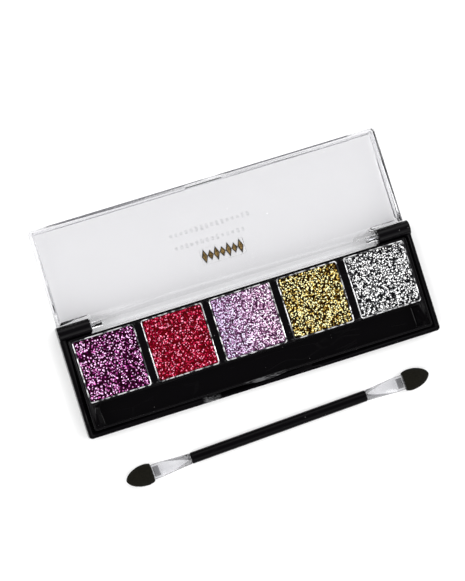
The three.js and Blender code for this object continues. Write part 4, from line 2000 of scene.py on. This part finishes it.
    def neck(self) -> bmesh.types.BMesh:
        """Draws a neck: round at the handle, pinched flat, with a sunk window at the sponge.

        Returns:
            The shape, in millimetres along X.
        """
        start, pinch, end = self.neck_start, self.pinch_end, self.neck_end
        root, chamfer, lip = self.spigot, self.chamfer, 0.1
        shoulder = self.neck_root - 0.12
        rings = [self.ring(start - self.spigot_length, root - chamfer, root)]
        rings.append(self.ring(start - self.spigot_length + chamfer, root, root))
        rings.append(self.ring(start, root, root))
        rings.append(self.ring(start, shoulder, self.neck_root))
        for step in range(self.neck_rings + 1):
            x = blend(start + lip, pinch, step / self.neck_rings)
            rings.append(self.ring(x, *self.section(x)))
        first, last = self.window
        edge = self.window_edge
        for x, sunk in ((first, 0.0), (first + edge, 1.0), (last - edge, 1.0), (last, 0.0)):
            rings.append(self.sunk_ring(x, sunk))
        rings.append(self.ring(end - lip, self.neck_wide, self.neck_thin))
        rings.append(self.ring(end, self.neck_wide - lip, self.neck_thin - lip))
        for x, shrink in ((end, 0.0), (self.paddle_end - 0.3, 0.0), (self.paddle_end, 0.25)):
            rings.append(self.ring(x, self.paddle_half - shrink, self.paddle_thin - shrink / 2))
        return lofted(rings)

    def sunk_ring(self, x: float, share: float) -> list[tuple[float, float, float]]:
        """A flattened section whose top and bottom are sunk between the window's edges.

        Args:
            x: Where the section stands.
            share: How much of the window's depth it is sunk.

        Returns:
            The section's points.
        """
        depth = share * self.window_depth
        points = []
        for _, y, z in self.ring(x, self.neck_wide, self.neck_thin):
            inside = abs(y) < self.window_half and abs(z) > self.neck_thin - self.flat_slack
            points.append((x, y, z - math.copysign(depth, z) if inside else z))
        return points

    def outline(self, distance: float) -> float:
        """The sponge's half width at a distance from its cut end.

        Args:
            distance: How far along the sponge, in millimetres.

        Returns:
            The half width, as a share of the widest.
        """
        widest = 0.25 * self.tip_length
        if distance < widest:
            return 1 - 0.14 * (1 - distance / widest) ** 2
        share = (distance - widest) / (self.tip_length - widest)
        return max(0.0, 1 - share * share) ** 0.6

    def tip(self, side: Side) -> bmesh.types.BMesh:
        """Draws a sponge tip with a porous skin.

        Args:
            side: Which tip, so that the two have different pores.

        Returns:
            The shape.
        """
        rings = []
        inset = 0.12
        for step in range(self.tip_rings):
            distance = self.tip_length * math.sin(step / self.tip_rings * math.pi / 2)
            share = self.outline(distance)
            soft = 1 - 0.035 * max(0.0, 1 - distance / inset)
            ring = []
            for turn in range(self.sides):
                angle = 2 * math.pi * turn / self.sides
                y, z = math.cos(angle) * share * soft, math.sin(angle) * share * soft
                point = Vector((self.tip_start + distance, y * self.tip_wide, z * self.tip_thick))
                ring.append(tuple(point + self.pore(point, side) * Vector((0.3, y, z))))
            rings.append(ring)
        last = self.tip_start + self.tip_length
        rings.append([(last, 0.02 * p[1], 0.02 * p[2]) for p in rings[-1]])
        return lofted(rings)

    def pore(self, point: Vector, side: Side) -> float:
        """How far the foam's skin stands in at a point, in millimetres.

        Args:
            point: A point of the smooth skin, in millimetres.
            side: Which tip.

        Returns:
            The height, mostly below zero.
        """
        shifted = point + Vector((0.0, 40.0 * side.value, 7.0))
        coarse = noise.noise(shifted * 1.3)
        fine = noise.noise(shifted * 5.5)
        return self.pore_depth * (fine + 0.7 * coarse - 0.9)

    def slot_tip(self, piece: bpy.types.Object, pose: Matrix) -> None:
        """Cuts the slot that the neck's paddle fills.

        Args:
            piece: The sponge tip.
            pose: Where it lies.
        """
        room = self.slot_room
        wide, thin = self.paddle_half + room, self.paddle_thin + room
        rings = [
            [(x, -wide, -thin), (x, wide, -thin), (x, wide, thin), (x, -wide, thin)]
            for x in (self.tip_start - 1.0, self.paddle_end + room)
        ]
        shape = lofted(rings)
        shape.transform(pose)
        mesh = bpy.data.meshes.new("slot_cutter")
        shape.to_mesh(mesh)
        shape.free()
        cutter = link_object("slot_cutter", mesh)
        slot = piece.modifiers.new("slot", "BOOLEAN")
        slot.operation = "DIFFERENCE"
        slot.object = cutter
        slot.solver = "EXACT"
        settle(piece)
        bpy.data.objects.remove(cutter)


# ---------------------------------------------------------------- studio


@dataclass(frozen=True)
class SoftBox:
    """One soft rectangular light."""

    name: str
    place_m: tuple[float, float, float]
    size_m: tuple[float, float]
    watts: float
    colour: tuple[float, float, float] = (1.0, 1.0, 1.0)

    def build(self, target: Vector) -> None:
        """Hangs the light so that it faces a point.

        Args:
            target: The point it faces.
        """
        data = bpy.data.lights.new(self.name, "AREA")
        data.shape = "RECTANGLE"
        data.size, data.size_y = self.size_m
        data.energy = self.watts
        data.color = self.colour
        lamp = bpy.data.objects.new(self.name, data)
        lamp.location = self.place_m
        lamp.rotation_euler = (target - lamp.location).to_track_quat("-Z", "Y").to_euler()
        bpy.context.scene.collection.objects.link(lamp)


@dataclass
class Studio:
    """A pale table, soft side lights and the camera above."""

    eye_m: tuple[float, float, float] = (-0.10589, 0.00287, 0.78581)
    aim_m: tuple[float, float, float] = (-0.00088, 0.01316, 0.0)
    turn_deg: float = -17.06
    lens_mm: float = 156.0
    floor_half_m: float = 3.0
    room_strength: float = 1.4
    # how high a direction points, from 0 to 1, and how bright the room is there
    room_light: tuple[tuple[float, float], ...] = (
        (0.1, 0.12),
        (0.4, 0.95),
        (0.82, 1.0),
        (0.93, 0.16),
    )

    def build(self) -> None:
        """Sets up the table, the lights and the camera."""
        self.table()
        target = Vector((0.0, 0.01, 0.0))
        boxes = (
            SoftBox("left_box", (-0.8, -0.1, 0.9), (0.6, 0.7), 5.0),
            SoftBox("right_box", (0.85, 0.1, 0.9), (0.6, 0.7), 6.0),
            SoftBox("back_box", (0.05, 1.1, 0.9), (0.9, 0.5), 1.5),
            SoftBox("front_box", (-0.1, -1.1, 0.8), (0.9, 0.5), 1.5),
        )
        for box in boxes:
            box.build(target)
        self.surround()
        self.camera()
        bpy.context.scene.view_settings.view_transform = "Standard"

    def table(self) -> None:
        """Lays the pale table top."""
        half = self.floor_half_m
        mesh = bpy.data.meshes.new("table_top")
        corners = [(-half, -half, 0.0), (half, -half, 0.0), (half, half, 0.0), (-half, half, 0.0)]
        mesh.from_pydata(corners, [], [(0, 1, 2, 3)])
        top = link_object("table_top", mesh)
        top.location.z = -0.00002
        material, tree, shader = fresh_material("table_white")
        where = place(tree, "ShaderNodeTexCoord").outputs["Object"]
        soft = place(tree, "ShaderNodeTexNoise", {"Vector": where, "Scale": 4.0})
        colour = ramp(tree, soft.outputs["Fac"], [(0.3, (0.9, 0.9, 0.9)), (0.7, (0.92, 0.92, 0.92))])
        fill(
            shader,
            {
                "Base Color": colour,
                "Roughness": 0.9,
                "Specular IOR Level": 0.1,
            },
        )
        mesh.materials.append(material)

    def surround(self) -> None:
        """Lights the room evenly from the sides and leaves the ceiling dark."""
        world = bpy.data.worlds.new("studio")
        world.use_nodes = True
        tree = world.node_tree
        direction = place(tree, "ShaderNodeTexCoord").outputs["Generated"]
        height = place(tree, "ShaderNodeSeparateXYZ", {"Vector": direction}).outputs["Z"]
        colour = ramp(tree, height, [(z, (level, level, level)) for z, level in self.room_light])
        tree.links.new(colour, tree.nodes["Background"].inputs["Color"])
        tree.nodes["Background"].inputs["Strength"].default_value = self.room_strength
        bpy.context.scene.world = world

    def camera(self) -> None:
        """Places the camera."""
        eye, aim = Vector(self.eye_m), Vector(self.aim_m)
        back = (eye - aim).normalized()
        turn = math.radians(self.turn_deg)
        level = Vector((math.cos(turn), math.sin(turn), 0.0))
        right = (level - level.dot(back) * back).normalized()
        up = back.cross(right)
        data = bpy.data.cameras.new("camera")
        data.lens = self.lens_mm
        data.clip_start = 0.05
        camera = bpy.data.objects.new("camera", data)
        camera.matrix_world = Matrix.Translation(eye) @ Matrix((right, up, back)).transposed().to_4x4()
        bpy.context.scene.collection.objects.link(camera)
        bpy.context.scene.camera = camera


def main() -> None:
    """Builds the studio and every sub-assembly in order."""
    logging.basicConfig(level=logging.INFO, format="%(name)s: %(message)s")
    Studio().build()
    BaseShell().build()
    HingePins().build()
    PanRow().build()
    ClearLid().build()
    Applicator().build()


if __name__ == "__main__":
    main()
